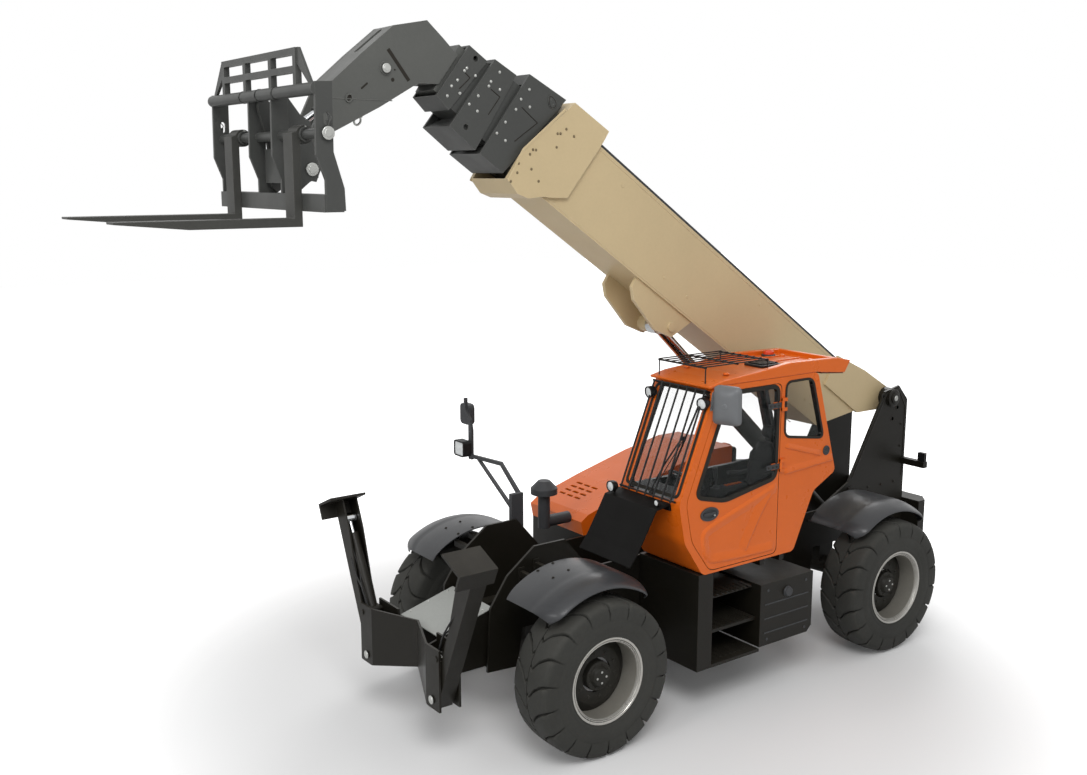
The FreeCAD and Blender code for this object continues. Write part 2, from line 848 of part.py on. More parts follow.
def tyre_form():
    """One tyre about its own middle: a carcass, lugs in two staggered rows, and the bore for the rim."""
    half, crown, bead = S.tyre_width / 2, S.ground_radius - S.lug_rise, S.flange_radius + S.bead_rise
    rows = [(S.tyre_bead_half + S.bead_rise, bead), (half - S.lug_proud, S.lug_root), (S.tyre_shoulder, crown)]
    carcass = faceted("tyre_carcass", both_sides(rows), S.lug_pairs * 2, HALF_TURN / S.lug_pairs / 2)
    lug = one_lug()
    other = joined("Part::Mirroring", "lug_other", Source=lug, Normal=FreeCAD.Vector(0, 1, 0))
    lugs, pitch = [], 2 * HALF_TURN / S.lug_pairs
    for row, (source, shift) in enumerate(((lug, 0), (other, 0.5))):
        for index in range(int(S.lug_pairs)):
            copy = joined("Part::Compound", f"lug_{row}_{index}", Links=[source])
            lugs.append(rolled(copy, (index + shift) * pitch))
    whole = joined("Part::MultiFuse", "tyre_whole", Shapes=[carcass] + lugs)
    inside = S.tyre_bead_half - S.flange_thick - S.gap
    seat, lip = S.seat_radius + S.gap, S.flange_radius + S.bead_rise / 2
    bore = faceted("tyre_bore", [(-1 * half, seat), (half, seat)], S.bore_sides)
    left = faceted("tyre_lip_left", [(inside, lip), (half, lip)], S.bore_sides)
    right = faceted("tyre_lip_right", [(-1 * half, lip), (-1 * inside, lip)], S.bore_sides)
    hollow = joined("Part::MultiFuse", "tyre_hollow", Shapes=[bore, left, right])
    return joined("Part::Cut", "tyre_form", Base=whole, Tool=hollow)


def one_lug():
    """A lug that slants from the middle of the tread to the shoulder and falls away there."""
    half, skew, near, far = S.lug_width / 2, S.lug_skew / 2, S.lug_inner_y, S.tyre_width / 2
    top = leg_of(S.ground_radius, half + skew)
    edge, low = top - S.tread_edge_drop, S.lug_root
    plan = [(-1 * half - skew, near), (half - skew, near), (half + skew, far), (-1 * half + skew, far)]
    side = [(near, low), (far, low), (far, edge), (S.tyre_shoulder, top), (near, top)]
    tall = extruded("lug_plan", plan, FreeCAD.Rotation(), FreeCAD.Vector(0, 0, 1), S.ground_radius)
    upright = FreeCAD.Rotation(FreeCAD.Vector(1, 1, 1), 120)
    wide = extruded("lug_side", side, upright, FreeCAD.Vector(1, 0, 0), S.lug_width)
    return joined("Part::Common", "lug", Base=tall, Tool=wide)


def extruded(name, points, facing, ahead, reach):
    """A closed outline on a plane through the origin, run out the same way to both sides."""
    sketch = doc.addObject("Sketcher::SketchObject", name)
    sketch.Placement = FreeCAD.Placement(FreeCAD.Vector(), facing)
    ends = [FreeCAD.Vector(float(a), float(b), 0) for a, b in points]
    for index, end in enumerate(ends):
        sketch.addGeometry(Part.LineSegment(end, ends[(index + 1) % len(ends)]))
    for index, where in enumerate(points):
        sketch.addConstraint(Sketcher.Constraint("Coincident", index, 2, (index + 1) % len(ends), 1))
        for kind, value in (("DistanceX", where[0]), ("DistanceY", where[1])):
            rule = sketch.addConstraint(Sketcher.Constraint(kind, -1, 1, index, 1, float(value)))
            tie(sketch, f"Constraints[{rule}]", value)
    run = joined("Part::Extrusion", f"{name}_run", Base=sketch, Dir=ahead, Solid=True)
    for end in ("LengthFwd", "LengthRev"):
        setattr(run, end, float(reach))
        tie(run, end, reach)
    return run


def tyre(label, at, form):
    """A copy of the tyre, rolled so that the corner of a lug stands on the ground."""
    x, y, z = at
    corner = (S.lug_width + S.lug_skew) / 2
    copy = joined("Part::Compound", label, Links=[form])
    Made(label, rolled(copy, bearing(corner, leg_of(S.ground_radius, corner)), (x + S.mid_x, y, z)))


def rim(label, at, turn):
    """A deep rim: flanges and well, a dished disc set back from the outside, and the hub."""
    piece = Piece(label, at, axis=(0, 0, 1), angle=turn)
    bead, flange = S.tyre_bead_half, S.flange_thick
    inside = S.seat_radius - S.well_thick
    ring = [(-1 * bead, inside), (-1 * bead, S.flange_radius), (-1 * bead + flange, S.flange_radius)]
    ring += [(-1 * bead + flange, S.seat_radius), (bead - flange, S.seat_radius)]
    ring += [(bead - flange, S.flange_radius), (bead, S.flange_radius), (bead, inside)]
    piece.turned(ring)
    back, face = S.disc_set, S.disc_set + S.dish_depth
    thick, into = S.disc_thick, S.weld_in
    dish = [(back, inside + into), (face, S.dish_radius), (face, S.hub_radius - into)]
    dish += [(face - thick, S.hub_radius - into), (face - thick, S.dish_radius - into), (back - thick, inside + into)]
    piece.turned(dish)
    cap = S.hub_out + S.hub_cap_rise
    hub = [(-1 * S.hub_back, 0), (-1 * S.hub_back, S.hub_radius), (S.hub_out, S.hub_radius)]
    hub += [(S.hub_out, S.hub_cap_radius), (cap, S.hub_cap_radius - S.hub_cap_taper), (cap, 0)]
    piece.turned(hub)


def axles():
    """A housing with its differential, saddles under the frame's shelves, and a yoke at each end."""
    for end, x in axle_places():
        piece = Piece(f"axle_{end}", (x, 0, S.ground_radius))
        root, tube, big, half = S.yoke_root_y, S.axle_tube_radius, S.diff_radius, S.diff_half
        profile = [(-1 * root, 0), (-1 * root, tube), (-1 * half, tube + S.axle_swell), (-1 * half * S.diff_flat, big)]
        profile += [(half * S.diff_flat, big), (half, tube + S.axle_swell), (root, tube), (root, 0)]
        piece.turned(profile)
        roof = S.axle_roof_z - S.gap - S.ground_radius
        reach, wide = S.kingpin_reach, S.yoke_radius
        for sign in (LEFT, RIGHT):
            saddle = between(sign, S.shelf_in + S.play, S.frame_half - S.plate - S.play)
            piece.pad("z", box((-1 * S.saddle_half, saddle[0]), (S.saddle_half, saddle[1])), tube / 2, roof)
            web = between(sign, root - S.yoke_thick, root + S.yoke_thick / 2)
            piece.pad("z", box((-1 * wide, web[0]), (wide, web[1])), -1 * reach, reach)
            arm = between(sign, root - S.yoke_thick, S.kingpin_y)
            for low in (-1 * reach, reach - S.yoke_thick):
                piece.pad("z", box((-1 * wide, arm[0]), (wide, arm[1])), low, low + S.yoke_thick)
                piece.rod("z", (0, sign * S.kingpin_y), wide, low, low + S.yoke_thick)
            piece.rod("z", (0, sign * S.kingpin_y), S.kingpin_radius, -1 * reach, reach)


def knuckles():
    """A barrel on the kingpin, with the spindle that carries the hub outside it."""
    for end, x in axle_places():
        for side, sign in SIDES:
            piece = Piece(f"knuckle_{end}_{side}", (x, sign * S.kingpin_y, S.ground_radius))
            high = S.kingpin_reach - S.yoke_thick - S.play
            piece.rod("z", (0, 0), S.knuckle_radius, -1 * high, high)
            hub_y = S.wheel_spread / 2 - S.kingpin_y - S.hub_back - S.gap
            near, far = between(sign, S.kingpin_radius / 2, hub_y)
            piece.rod("y", (0, 0), S.spindle_radius, near, far)
            piece.bore("z", (0, 0), S.kingpin_radius + S.gap, -1 * high - 1, high + 1)


def frame():
    """Two long side plates with the tower for the arm at the rear, tied by cross plates."""
    piece = Piece("chassis_frame")
    half_base = S.wheelbase / 2
    side = [(S.tail_x, S.tail_low_z), (S.tail_x, S.tower_rear_z), (S.tower_peak_x, S.tower_peak_z)]
    side += [(S.tower_front_x, S.tower_front_z), (S.tower_slope_x, S.tower_slope_z), (S.rail_rear_x, S.rail_z)]
    side += [(S.nose_rise_x, S.rail_z), (S.nose_top_x, S.nose_top_z), (S.nose_edge_x, S.nose_top_z)]
    side += [(S.nose_slope_x, S.nose_slope_z), (S.nose_front_x, S.nose_front_z), (S.frame_front_x, S.frame_front_z)]
    arch, roof = S.arch_half - S.arch_slope, S.axle_roof_z
    for x in (half_base, -1 * half_base):
        side += [(x + S.arch_half, S.belly_z + S.arch_step), (x + arch, roof), (x - arch, roof), (x - S.arch_half, S.belly_z)]
    inside = S.frame_half - S.plate
    pivot, foot = (S.arm_pivot_x, S.arm_pivot_z), (S.lift_base_x, S.lift_base_z)
    for sign in (LEFT, RIGHT):
        piece.pad("y", side, *between(sign, inside, S.frame_half))
        piece.rod("y", pivot, S.boss_radius, *between(sign, S.frame_half, S.frame_half + S.boss_thick))
        piece.rod("y", pivot, S.boss_radius, *between(sign, S.arm_half + S.ear_thick + S.play, inside))
        piece.rod("y", foot, S.lift_boss_radius, *between(sign, S.lift_barrel_radius + S.play, inside))
    piece.rod("y", pivot, S.arm_pin_radius, -1 * S.frame_half - S.pin_end, S.frame_half + S.pin_end)
    for x in (half_base, -1 * half_base):
        for sign in (LEFT, RIGHT):
            shelf = between(sign, S.shelf_in, inside)
            piece.pad("z", box((x - arch, shelf[0]), (x + arch, shelf[1])), roof, roof + S.plate)
    front = half_base - S.arch_half - S.belly_inset
    piece.pad("x", box((-1 * inside, S.belly_z), (inside, S.belly_z + S.plate)), -1 * front, front)
    piece.pad("x", box((-1 * inside, S.tail_low_z), (inside, S.rail_z)), S.tail_x, S.tail_x + S.plate)
    wall = S.frame_front_x - S.front_wall_set
    piece.pad("x", box((-1 * inside, S.frame_front_z), (inside, S.front_wall_z)), wall - S.plate, wall)
    for x, z in ((S.tie_front_x, S.tie_front_z), (S.tie_rear_x, S.tie_rear_z)):
        piece.rod("y", (x, z), S.tie_radius, -1 * inside, inside)
    mount_top = S.sill_z - S.gap
    for x in (S.mount_rear_x, S.mount_front_x):
        mount = box((x, mount_top - S.mount_height), (x + S.mount_width, mount_top))
        piece.pad("y", mount, S.frame_half - 1, S.mount_reach)


def tail_weight():
    """The cast weight across the tail, its outer corners cut back."""
    piece = Piece("tail_weight")
    edge, rear, half = S.weight_chamfer, S.weight_rear_x, S.weight_half
    seat = S.tail_x - S.gap
    plan = [(seat, -1 * half), (seat, half), (rear + edge, half), (rear, half - edge)]
    plan += [(rear, -1 * half + edge), (rear + edge, -1 * half)]
    piece.pad("z", plan, S.weight_low_z, S.weight_top_z)
    low, high = S.tail_arm_z - S.tail_arm_side / 2, S.tail_arm_z + S.tail_arm_side / 2
    for sign in (LEFT, RIGHT):
        arm = box((S.tail_x + S.gap, low), (S.tail_x + S.tail_arm_side, high))
        piece.pad("y", arm, *between(sign, S.frame_half + S.gap, S.tail_arm_reach))


def front_beam():
    """Swept front plate of the stabilisers, plates behind the legs, and webs back to the frame."""
    piece = Piece("front_beam")
    thick, half, flat, low = S.beam_plate, S.beam_half, S.beam_flat_y, S.beam_end_low_z
    end, middle = S.beam_end_x, S.beam_mid_x
    band = [(end, -1 * half), (end, -1 * flat), (middle, 0), (end, flat), (end, half)]
    band += [(end - thick, half), (end - thick, flat), (middle - thick, 0), (end - thick, -1 * flat), (end - thick, -1 * half)]
    piece.pad("z", band, low, S.beam_top_z)
    notch = [(-1 * S.beam_notch, low - 1), (S.beam_notch, low - 1), (0, S.beam_mid_low_z)]
    piece.cut("x", notch, middle - thick - 1, end + 1)
    wall = S.frame_front_x - S.front_wall_set + S.gap
    fall = (S.deck_rear_z - S.deck_front_z) / (S.deck_front_x - S.deck_rear_x)
    rear_top = S.deck_front_z + (S.deck_front_x - wall) * fall - S.gap
    reach = end - thick - S.web_toe
    front_top = S.deck_front_z + (S.deck_front_x - reach) * fall - S.gap
    web = [(wall, S.beam_mid_low_z), (wall, rear_top), (reach, front_top), (reach, S.beam_mid_low_z)]
    behind = end - S.beam_depth
    for sign in (LEFT, RIGHT):
        piece.pad("y", web, *between(sign, S.web_y - thick, S.web_y))
        plate = between(sign, S.web_y - 1, half)
        piece.pad("x", box((plate[0], low), (plate[1], S.beam_top_z)), behind - thick, behind)
        for y, z in ((S.leg_pivot_y, S.leg_pivot_z), (S.brace_pin_y, S.brace_pin_z)):
            piece.rod("x", (sign * y, z), S.leg_pin_radius, behind - thick - S.pin_end, end + S.pin_end / 2)


def deck():
    piece = Piece("front_deck")
    band = [(S.deck_front_x, S.deck_front_z), (S.deck_front_x, S.deck_front_z + S.deck_thick)]
    band += [(S.deck_rear_x, S.deck_rear_z + S.deck_thick), (S.deck_rear_x, S.deck_rear_z)]
    piece.pad("y", band, -1 * S.web_y, S.web_y)


def stabilisers():
    for side, sign in SIDES:
        leg(f"stabiliser_leg_{side}", sign)
        brace(side, sign)


def leg(label, sign):
    """A leaning channel open to the inside, with its foot across the top, seen from its pivot."""
    place = (S.leg_middle_x, sign * S.leg_pivot_y, S.leg_pivot_z)
    piece = Piece(label, place, axis=(-1 * sign, 0, 0), angle=S.leg_lean)
    half, sheet, back = S.leg_width / 2, S.leg_sheet, S.leg_back
    low, high, top = -1 * S.leg_below, S.leg_length, S.leg_length + S.foot_thick
    web = between(sign, back - sheet, back)
    piece.pad("z", box((-1 * half, web[0]), (half, web[1])), low, high)
    flange = [(back, low), (back - S.leg_depth_low, low), (back - S.leg_depth_low, high * S.leg_swell)]
    flange += [(back - S.leg_depth_high, high * S.leg_swell_end), (back - S.leg_depth_high, high), (back, high)]
    flange = [(sign * across, up) for across, up in flange]
    for start in (-1 * half, half - sheet):
        piece.pad("x", flange, start, start + sheet)
        piece.bore("x", (0, 0), S.leg_pin_radius + S.gap, start - 1, start + sheet + 1)
    for near, far, start in ((back - S.foot_width, back, high), (back, back + S.foot_thick, high - S.foot_wall)):
        span = between(sign, near, far)
        piece.pad("z", box((-1 * S.foot_back, span[0]), (S.foot_front, span[1])), start, top)


def brace_run():
    """Length of a stabiliser's cylinder from pin to eye, and its lean from upright."""
    across = S.leg_back - S.brace_eye_in
    run_y = S.leg_pivot_y + across * cosine(S.leg_lean) + S.brace_eye_up * sine(S.leg_lean) - S.brace_pin_y
    run_z = S.leg_pivot_z - across * sine(S.leg_lean) + S.brace_eye_up * cosine(S.leg_lean) - S.brace_pin_z
    return distance(run_y, run_z), bearing(run_y, run_z)


def brace(side, sign):
    length, lean = brace_run()
    place = (S.leg_middle_x, sign * S.brace_pin_y, S.brace_pin_z)
    inner = S.leg_width / 2 - S.leg_sheet - S.play
    ring, pin = S.brace_barrel_radius, S.leg_pin_radius
    barrel = Piece(f"stabiliser_barrel_{side}", place, axis=(-1 * sign, 0, 0), angle=lean)
    barrel.rod("x", (0, 0), ring, -1 * inner, inner)
    barrel.rod("z", (0, 0), ring, ring / 2, S.brace_barrel_length)
    barrel.bore("z", (0, 0), S.brace_rod_radius + S.gap, ring * 2, S.brace_barrel_length + 1)
    barrel.bore("x", (0, 0), pin + S.gap, -1 * inner - 1, inner + 1)
    rod = Piece(f"stabiliser_rod_{side}", place, axis=(-1 * sign, 0, 0), angle=lean)
    rod.rod("z", (0, 0), S.brace_rod_radius, ring * 2 + S.play, length)
    rod.rod("x", (0, length), S.brace_eye_radius, -1 * inner, inner)


def arm_piece(label):
    """A body along the lift arm: X runs along it from the pivot and Z up from its axis."""
    return Piece(label, (S.arm_pivot_x, 0, S.arm_pivot_z), angle=-1 * S.arm_angle)


def on_arm(along, up):
    """Where a place on the resting arm lies on the machine."""
    x = S.arm_pivot_x + along * cosine(S.arm_angle) - up * sine(S.arm_angle)
    z = S.arm_pivot_z + along * sine(S.arm_angle) + up * cosine(S.arm_angle)
    return x, z


def lift_arm():
    """The outer box of the arm, with ears on the pivot, the collar in front and the lift bracket below."""
    piece = arm_piece("boom_base")
    low, top, half, wall = S.arm_bottom, S.arm_top, S.arm_half, S.arm_wall
    rear, slope = S.arm_rear, S.arm_rear + S.arm_slope
    side = [(rear, S.arm_rear_low), (slope, low), (S.arm_front, low), (S.arm_front, top), (rear, top)]
    for sign in (LEFT, RIGHT):
        piece.pad("y", side, *between(sign, half - wall, half))
        piece.pad("y", corners("ear"), *between(sign, half - 1, half + S.ear_thick))
    outside = half + S.ear_thick
    piece.bore("y", (0, 0), S.arm_pin_radius + S.gap, -1 * outside - 1, outside + 1)
    piece.pad("x", box((-1 * half, top - wall), (half, top)), rear, S.arm_front)
    piece.pad("x", box((-1 * half, low), (half, low + wall)), slope, S.arm_front)
    piece.pad("x", box((-1 * half + 1, S.arm_rear_low), (half - 1, top - wall + 1)), rear + wall, rear + wall * 2)
    for sign in (LEFT, RIGHT):
        piece.pad("y", corners("collar_1"), *between(sign, half - 1, S.collar_half))
    piece.pad("y", corners("collar_lid"), -1 * half, half)
    piece.pad("y", corners("collar_shoe"), -1 * half, half)
    wear_pads(piece, half - wall, low + wall, top - wall, 1, S.arm_front)
    pin, inner, plate = (S.bracket_pin, S.bracket_pin_drop), S.bracket_half - S.bracket_plate, S.bracket_half
    for sign in (LEFT, RIGHT):
        piece.pad("y", corners("bracket"), *between(sign, inner, plate))
        piece.rod("y", pin, S.bracket_boss_radius, *between(sign, S.lift_rod_eye_half + S.play, inner + 1))
    piece.rod("y", pin, S.lift_pin_radius, -1 * plate - S.pin_end, plate + S.pin_end)


def wear_pads(piece, half, low, top, step, front):
    """Blocks in the mouth of a section that carry the next one inside it."""
    next_half, next_low, next_top = nest(step)
    start, end = front - S.pad_length, front - S.pad_set
    for sign in (LEFT, RIGHT):
        side = between(sign, next_half + S.gap, half + 1)
        piece.pad("x", box((side[0], low + S.pad_corner), (side[1], low + S.pad_corner + S.pad_height)), start, end)
    piece.pad("x", box((-1 * next_half + S.pad_corner, low - 1), (next_half - S.pad_corner, next_low - S.gap)), start, end)
    piece.pad("x", box((-1 * next_half + S.pad_corner, next_top + S.gap), (next_half - S.pad_corner, top + 1)), start, end)


def hose_strip():
    """The cover of the hoses along the arm's top."""
    piece = arm_piece("boom_hose_guard")
    half = S.hose_strip_width / 2
    low = S.arm_top + S.gap
    piece.pad("x", box((-1 * half, low), (half, low + S.hose_strip_height)), S.hose_strip_rear, S.hose_strip_front)


def nest(step):
    """Half width, bottom and top of a section of the arm that lies inside the ones before it."""
    walls = S.arm_wall + (step - 1) * S.section_wall
    low, top = S.arm_bottom + walls + step * S.section_gap_low, S.arm_top - walls - step * S.section_gap_top
    return S.arm_half - walls - step * S.section_gap, low, top


def sections():
    """Three box sections, each with a collar in front that stands before the one it runs in."""
    for step in (1, 2, 3):
        piece = arm_piece(f"boom_section_{step + 1}")
        half, low, top = nest(step)
        wall, rear = S.section_wall, S.section_rear + step * S.section_step
        collar = corners(f"collar_{step + 1}")
        upper_rear, upper_front, lower_front, lower_rear = collar
        end = upper_front[0]
        piece.pad("x", box((-1 * half, low), (half, top)), rear, end)
        piece.cut("x", box((-1 * half + wall, low + wall), (half - wall, top - wall)), rear - 1, end + 1)
        upper = [(upper_rear[0], top - 1), upper_rear, upper_front, (end, top - 1)]
        lower = [(lower_rear[0], low + 1), (end, low + 1), lower_front, lower_rear]
        for bar in (upper, lower):
            piece.pad("y", bar, -1 * half, half)
        for sign in (LEFT, RIGHT):
            piece.pad("y", collar, *between(sign, half - 1, half + S.collar_thick))
        if step > 1:
            hole = corners("collar_holes")[step - 2]
            for sign in (LEFT, RIGHT):
                piece.bore("y", hole, S.collar_hole_radius, *between(sign, half - wall - 1, half + S.collar_thick + 1))
        wear_pads(piece, half - wall, low + wall, top - wall, step + 1, end)


def head():
    """The innermost section, closed in front, and the goose neck that carries the coupler."""
    piece = arm_piece("boom_head")
    half, low, top = nest(4)
    wall, thick = S.section_wall, S.neck_wall
    rear, front = S.section_rear + 4 * S.section_step, S.collar_4_along_2 + S.head_show
    piece.pad("x", box((-1 * half, low), (half, top)), rear, front)
    piece.cut("x", box((-1 * half + wall, low + wall), (half - wall, top - wall)), rear - 1, front - S.head_cap)
    pivot, base, outside = (S.coupler_along, S.coupler_up), (S.tilt_base_along, S.tilt_base_up), S.neck_half
    for sign in (LEFT, RIGHT):
        piece.pad("y", corners("neck"), *between(sign, outside - thick, outside))
        piece.rod("y", pivot, S.coupler_boss_radius, *between(sign, outside - thick - 1, outside))
        piece.rod("y", base, S.tilt_boss_radius, *between(sign, S.tilt_eye_half + S.play, outside + S.pin_end / 2))
    for name in ("neck_roof", "neck_floor"):
        piece.pad("y", corners(name), -1 * outside + 1, outside - 1)
    slot = box((-1 * S.neck_slot_half, S.neck_slot_low), (S.neck_slot_half, S.neck_slot_high))
    piece.cut("x", slot, S.neck_slot_start, S.neck_slot_end, S.neck_slot_half - 1)
    piece.rod("y", pivot, S.coupler_pin_radius, -1 * S.coupler_pin_half, S.coupler_pin_half)
    piece.rod("y", base, S.tilt_pin_radius, -1 * outside, outside)


def lift_cylinder():
    """The barrel on the frame's pin, and the rod that reaches the arm's bracket."""
    eye_x, eye_z = on_arm(S.bracket_pin, S.bracket_pin_drop)
    run_x, run_z = eye_x - S.lift_base_x, eye_z - S.lift_base_z
    length, turn = distance(run_x, run_z), bearing(run_x, run_z)
    at = (S.lift_base_x, 0, S.lift_base_z)
    ring, half = S.lift_eye_radius, S.lift_eye_half
    barrel = Piece("lift_barrel", at, angle=turn)
    barrel.rod("y", (0, 0), ring, -1 * half, half)
    barrel.rod("z", (0, 0), S.lift_barrel_radius, ring / 2, S.lift_barrel_length)
    barrel.bore("z", (0, 0), S.lift_rod_radius + S.gap, ring * 2, S.lift_barrel_length + 1)
    rod = Piece("lift_rod", at, angle=turn)
    rod.rod("z", (0, 0), S.lift_rod_radius, ring * 2 + S.lift_rod_start, length)
    rod.rod("y", (0, length), S.lift_rod_eye_radius, -1 * S.lift_rod_eye_half, S.lift_rod_eye_half)
    rod.bore("y", (0, length), S.lift_pin_radius + S.gap, -1 * S.lift_rod_eye_half - 1, S.lift_rod_eye_half + 1)


def tilt_cylinder():
    """The cylinder inside the goose neck that swings the coupler."""
    base_x, base_z = on_arm(S.tilt_base_along, S.tilt_base_up)
    coupler_x, coupler_z = on_arm(S.coupler_along, S.coupler_up)
    run_x, run_z = coupler_x + S.tilt_eye_x - base_x, coupler_z + S.tilt_eye_z - base_z
    length, turn = distance(run_x, run_z), bearing(run_x, run_z)
    ring, half = S.tilt_eye_radius, S.tilt_eye_half
    barrel = Piece("tilt_barrel", (base_x, 0, base_z), angle=turn)
    barrel.rod("y", (0, 0), ring, -1 * half, half)
    barrel.rod("z", (0, 0), S.tilt_barrel_radius, ring / 2, S.tilt_barrel_length)
    barrel.bore("y", (0, 0), S.tilt_pin_radius + S.gap, -1 * S.tilt_barrel_radius - 1, S.tilt_barrel_radius + 1)
    barrel.bore("z", (0, 0), S.tilt_rod_radius + S.gap, ring * 2, S.tilt_barrel_length + 1)
    rod = Piece("tilt_rod", (base_x, 0, base_z), angle=turn)
    rod.rod("z", (0, 0), S.tilt_rod_radius, S.tilt_rod_start, length)
    rod.rod("y", (0, length), S.tilt_eye_radius, -1 * half, half)


def at_coupler(label):
    """A body with its origin on the coupler's pin, upright at rest."""
    x, z = on_arm(S.coupler_along, S.coupler_up)
    return Piece(label, (x, 0, z))


def coupler():
    """Two outer plates on the pin, a cross plate between them and two lugs for the tilt rod."""
    piece = at_coupler("coupler")
    near = S.neck_half + S.play
    far = near + S.coupler_plate
    for sign in (LEFT, RIGHT):
        piece.pad("y", corners("coupler_cheek"), *between(sign, near, far))
        lug = S.tilt_eye_half + S.play
        piece.pad("y", corners("coupler_lug"), *between(sign, lug, lug + S.coupler_lug_plate))
    piece.bore("y", (0, 0), S.coupler_pin_radius + S.gap, -1 * far - 1, far + 1)
    cross = S.coupler_cross_x
    piece.pad("y", box((cross, S.coupler_cross_low), (cross + S.coupler_plate, S.coupler_cross_top)), -1 * near - 1, near + 1)


def carriage():
    """Cheeks at both ends, tube, shaft and low beam across, and the load guard on top."""
    piece = at_coupler("fork_carriage")
    thick = S.cheek_thick
    for sign in (LEFT, RIGHT):
        piece.pad("y", corners("cheek"), *between(sign, S.cheek_y - thick, S.cheek_y))
        slot = box((S.shaft_x - S.cheek_slot_half, S.cheek_slot_low), (S.shaft_x + S.cheek_slot_half, S.cheek_slot_high))
        piece.cut("y", slot, *between(sign, S.cheek_y - thick - 1, S.cheek_y + 1), S.cheek_slot_half - 1)
        inner = S.neck_half + S.play + S.coupler_plate + S.gap
        piece.pad("y", corners("cheek"), *between(sign, inner, inner + thick))
    piece.rod("y", (S.tube_x, S.tube_z), S.tube_radius, -1 * S.tube_half, S.tube_half)
    piece.rod("y", (S.shaft_x, S.shaft_z), S.shaft_radius, -1 * S.shaft_half, S.shaft_half)
    low, high = S.low_beam_z - S.low_beam_height / 2, S.low_beam_z + S.low_beam_height / 2
    piece.pad("x", box((-1 * S.cheek_y + 1, low), (S.cheek_y - 1, high)), S.low_beam_x - S.low_beam_depth, S.low_beam_x)
    bar = S.guard_bar / 2
    for level in (S.guard_top_z - bar, (S.guard_top_z + S.tube_z) / 2):
        row = box((S.tube_x - bar, level - bar), (S.tube_x + bar, level + bar))
        piece.pad("y", row, -1 * S.guard_half, S.guard_half)
    for sign in (LEFT, RIGHT):
        top, near, far = S.guard_top_z, S.guard_half - bar * 2, S.wing_low_y
        wing = [(near, top), (S.wing_top_y, top), (far, S.tube_z), (far - bar, S.tube_z), (near, top - bar * 3)]
        wing = [(sign * y, z) for y, z in wing]
        piece.pad("x", wing, S.tube_x - bar / 2, S.tube_x + bar / 2)
    outer = S.guard_half - bar
    for middle in (-1 * outer, -1 * outer * S.guard_post_share, outer * S.guard_post_share, outer):
        post = box((S.tube_x - bar, middle - bar), (S.tube_x + bar, middle + bar))
        piece.pad("z", post, S.tube_z + S.tube_radius / 2, S.guard_top_z - bar)


def forks():
    """Two forged forks that hang on the shaft by their rings."""
    face = S.shaft_x + S.shaft_radius + S.fork_stand
    low, thick = S.fork_low_z, S.fork_thick
    for side, y in (("l", S.fork_left_y), ("r", S.fork_right_y)):
        piece = at_coupler(f"fork_{side}")
        left, right = y - S.fork_width / 2, y + S.fork_width / 2
        profile = [(face, S.fork_top_z), (face + thick, S.fork_top_z - S.fork_slope), (face + thick, low + thick)]
        profile += [(S.fork_tip_x, low + thick), (S.fork_tip_x, low + thick - S.fork_tip_thick)]
        profile += [(S.fork_tip_x - S.fork_taper, low), (face, low)]
        piece.pad("y", profile, left, right)
        piece.rod("y", (S.shaft_x, S.shaft_z), S.fork_ring_radius, left, right)
        piece.bore("y", (S.shaft_x, S.shaft_z), S.shaft_radius + S.gap, left - 1, right + 1)


def cab_line(inset):
    """Corners of the cab's side, from the sill's front round to its rear, moved inwards."""
    turn = inset / 2
    return [(S.sill_front_x - turn, S.sill_z + inset), (S.knee_x - inset, S.knee_z + turn), (S.brow_x - inset, S.brow_z),
            (S.head_x - inset, S.head_z - inset), (S.rear_head_x + inset, S.head_z - inset),
            (S.rear_waist_x + inset, S.rear_waist_z), (S.rear_knee_x + inset, S.rear_knee_z + turn),
            (S.sill_rear_x + inset, S.sill_z + inset)]


def front_x(z):
    """The cab's front at a height above its brow."""
    return S.brow_x + (z - S.brow_z) * (S.head_x - S.brow_x) / (S.head_z - S.brow_z)


def rear_x(z):
    """The cab's rear at a height above its waist."""
    return S.rear_waist_x + (z - S.rear_waist_z) * (S.rear_head_x - S.rear_waist_x) / (S.head_z - S.rear_waist_z)


def door_line(inset):
    """Corners of the door opening, moved inwards by the given amount."""
    edge, turn = S.door_frame, inset / 2
    low, high = S.sill_z + S.sill_step + inset, S.head_z - S.sill_step * 2 - inset
    return [(S.sill_front_x - edge - turn, low), (S.knee_x - edge - inset, S.knee_z + turn),
            (S.brow_x - edge - inset, S.brow_z), (front_x(high) - edge - inset, high), (S.post_x + inset, high),
            (S.post_x + inset, low)]


def door_window(inset):
    """Corners of the door's window, moved inwards."""
    edge, low, rear = S.door_frame + S.pillar_rail + inset, S.window_front_z + inset, S.post_x + S.door_rail + inset
    high = S.head_z - S.door_frame - inset
    return [(front_x(low) - edge, low), (front_x(high) - edge, high), (rear, high), (rear, S.window_rear_z + inset),
            (S.window_dip_x, S.window_dip_z + inset)]


def quarter_line(inset):
    """Corners of the rear side window, moved inwards."""
    top, edge, front = S.head_z - S.sill_step * 2 - inset, S.window_edge + inset, S.post_x - S.post_width - inset
    low = S.quarter_rear_z + inset
    return [(front, top), (rear_x(top) + edge, top), (rear_x(low) + edge, low), (front, S.quarter_front_z + inset)]


def far_window(inset):
    """Corners of the window beside the lift arm, moved inwards."""
    top, low, edge = S.head_z - S.door_frame - inset, S.brow_z + S.sill_step + inset, S.window_edge + inset
    return [(front_x(low) - edge, low), (front_x(top) - edge, top), (rear_x(top) + edge, top), (rear_x(low) + edge, low)]


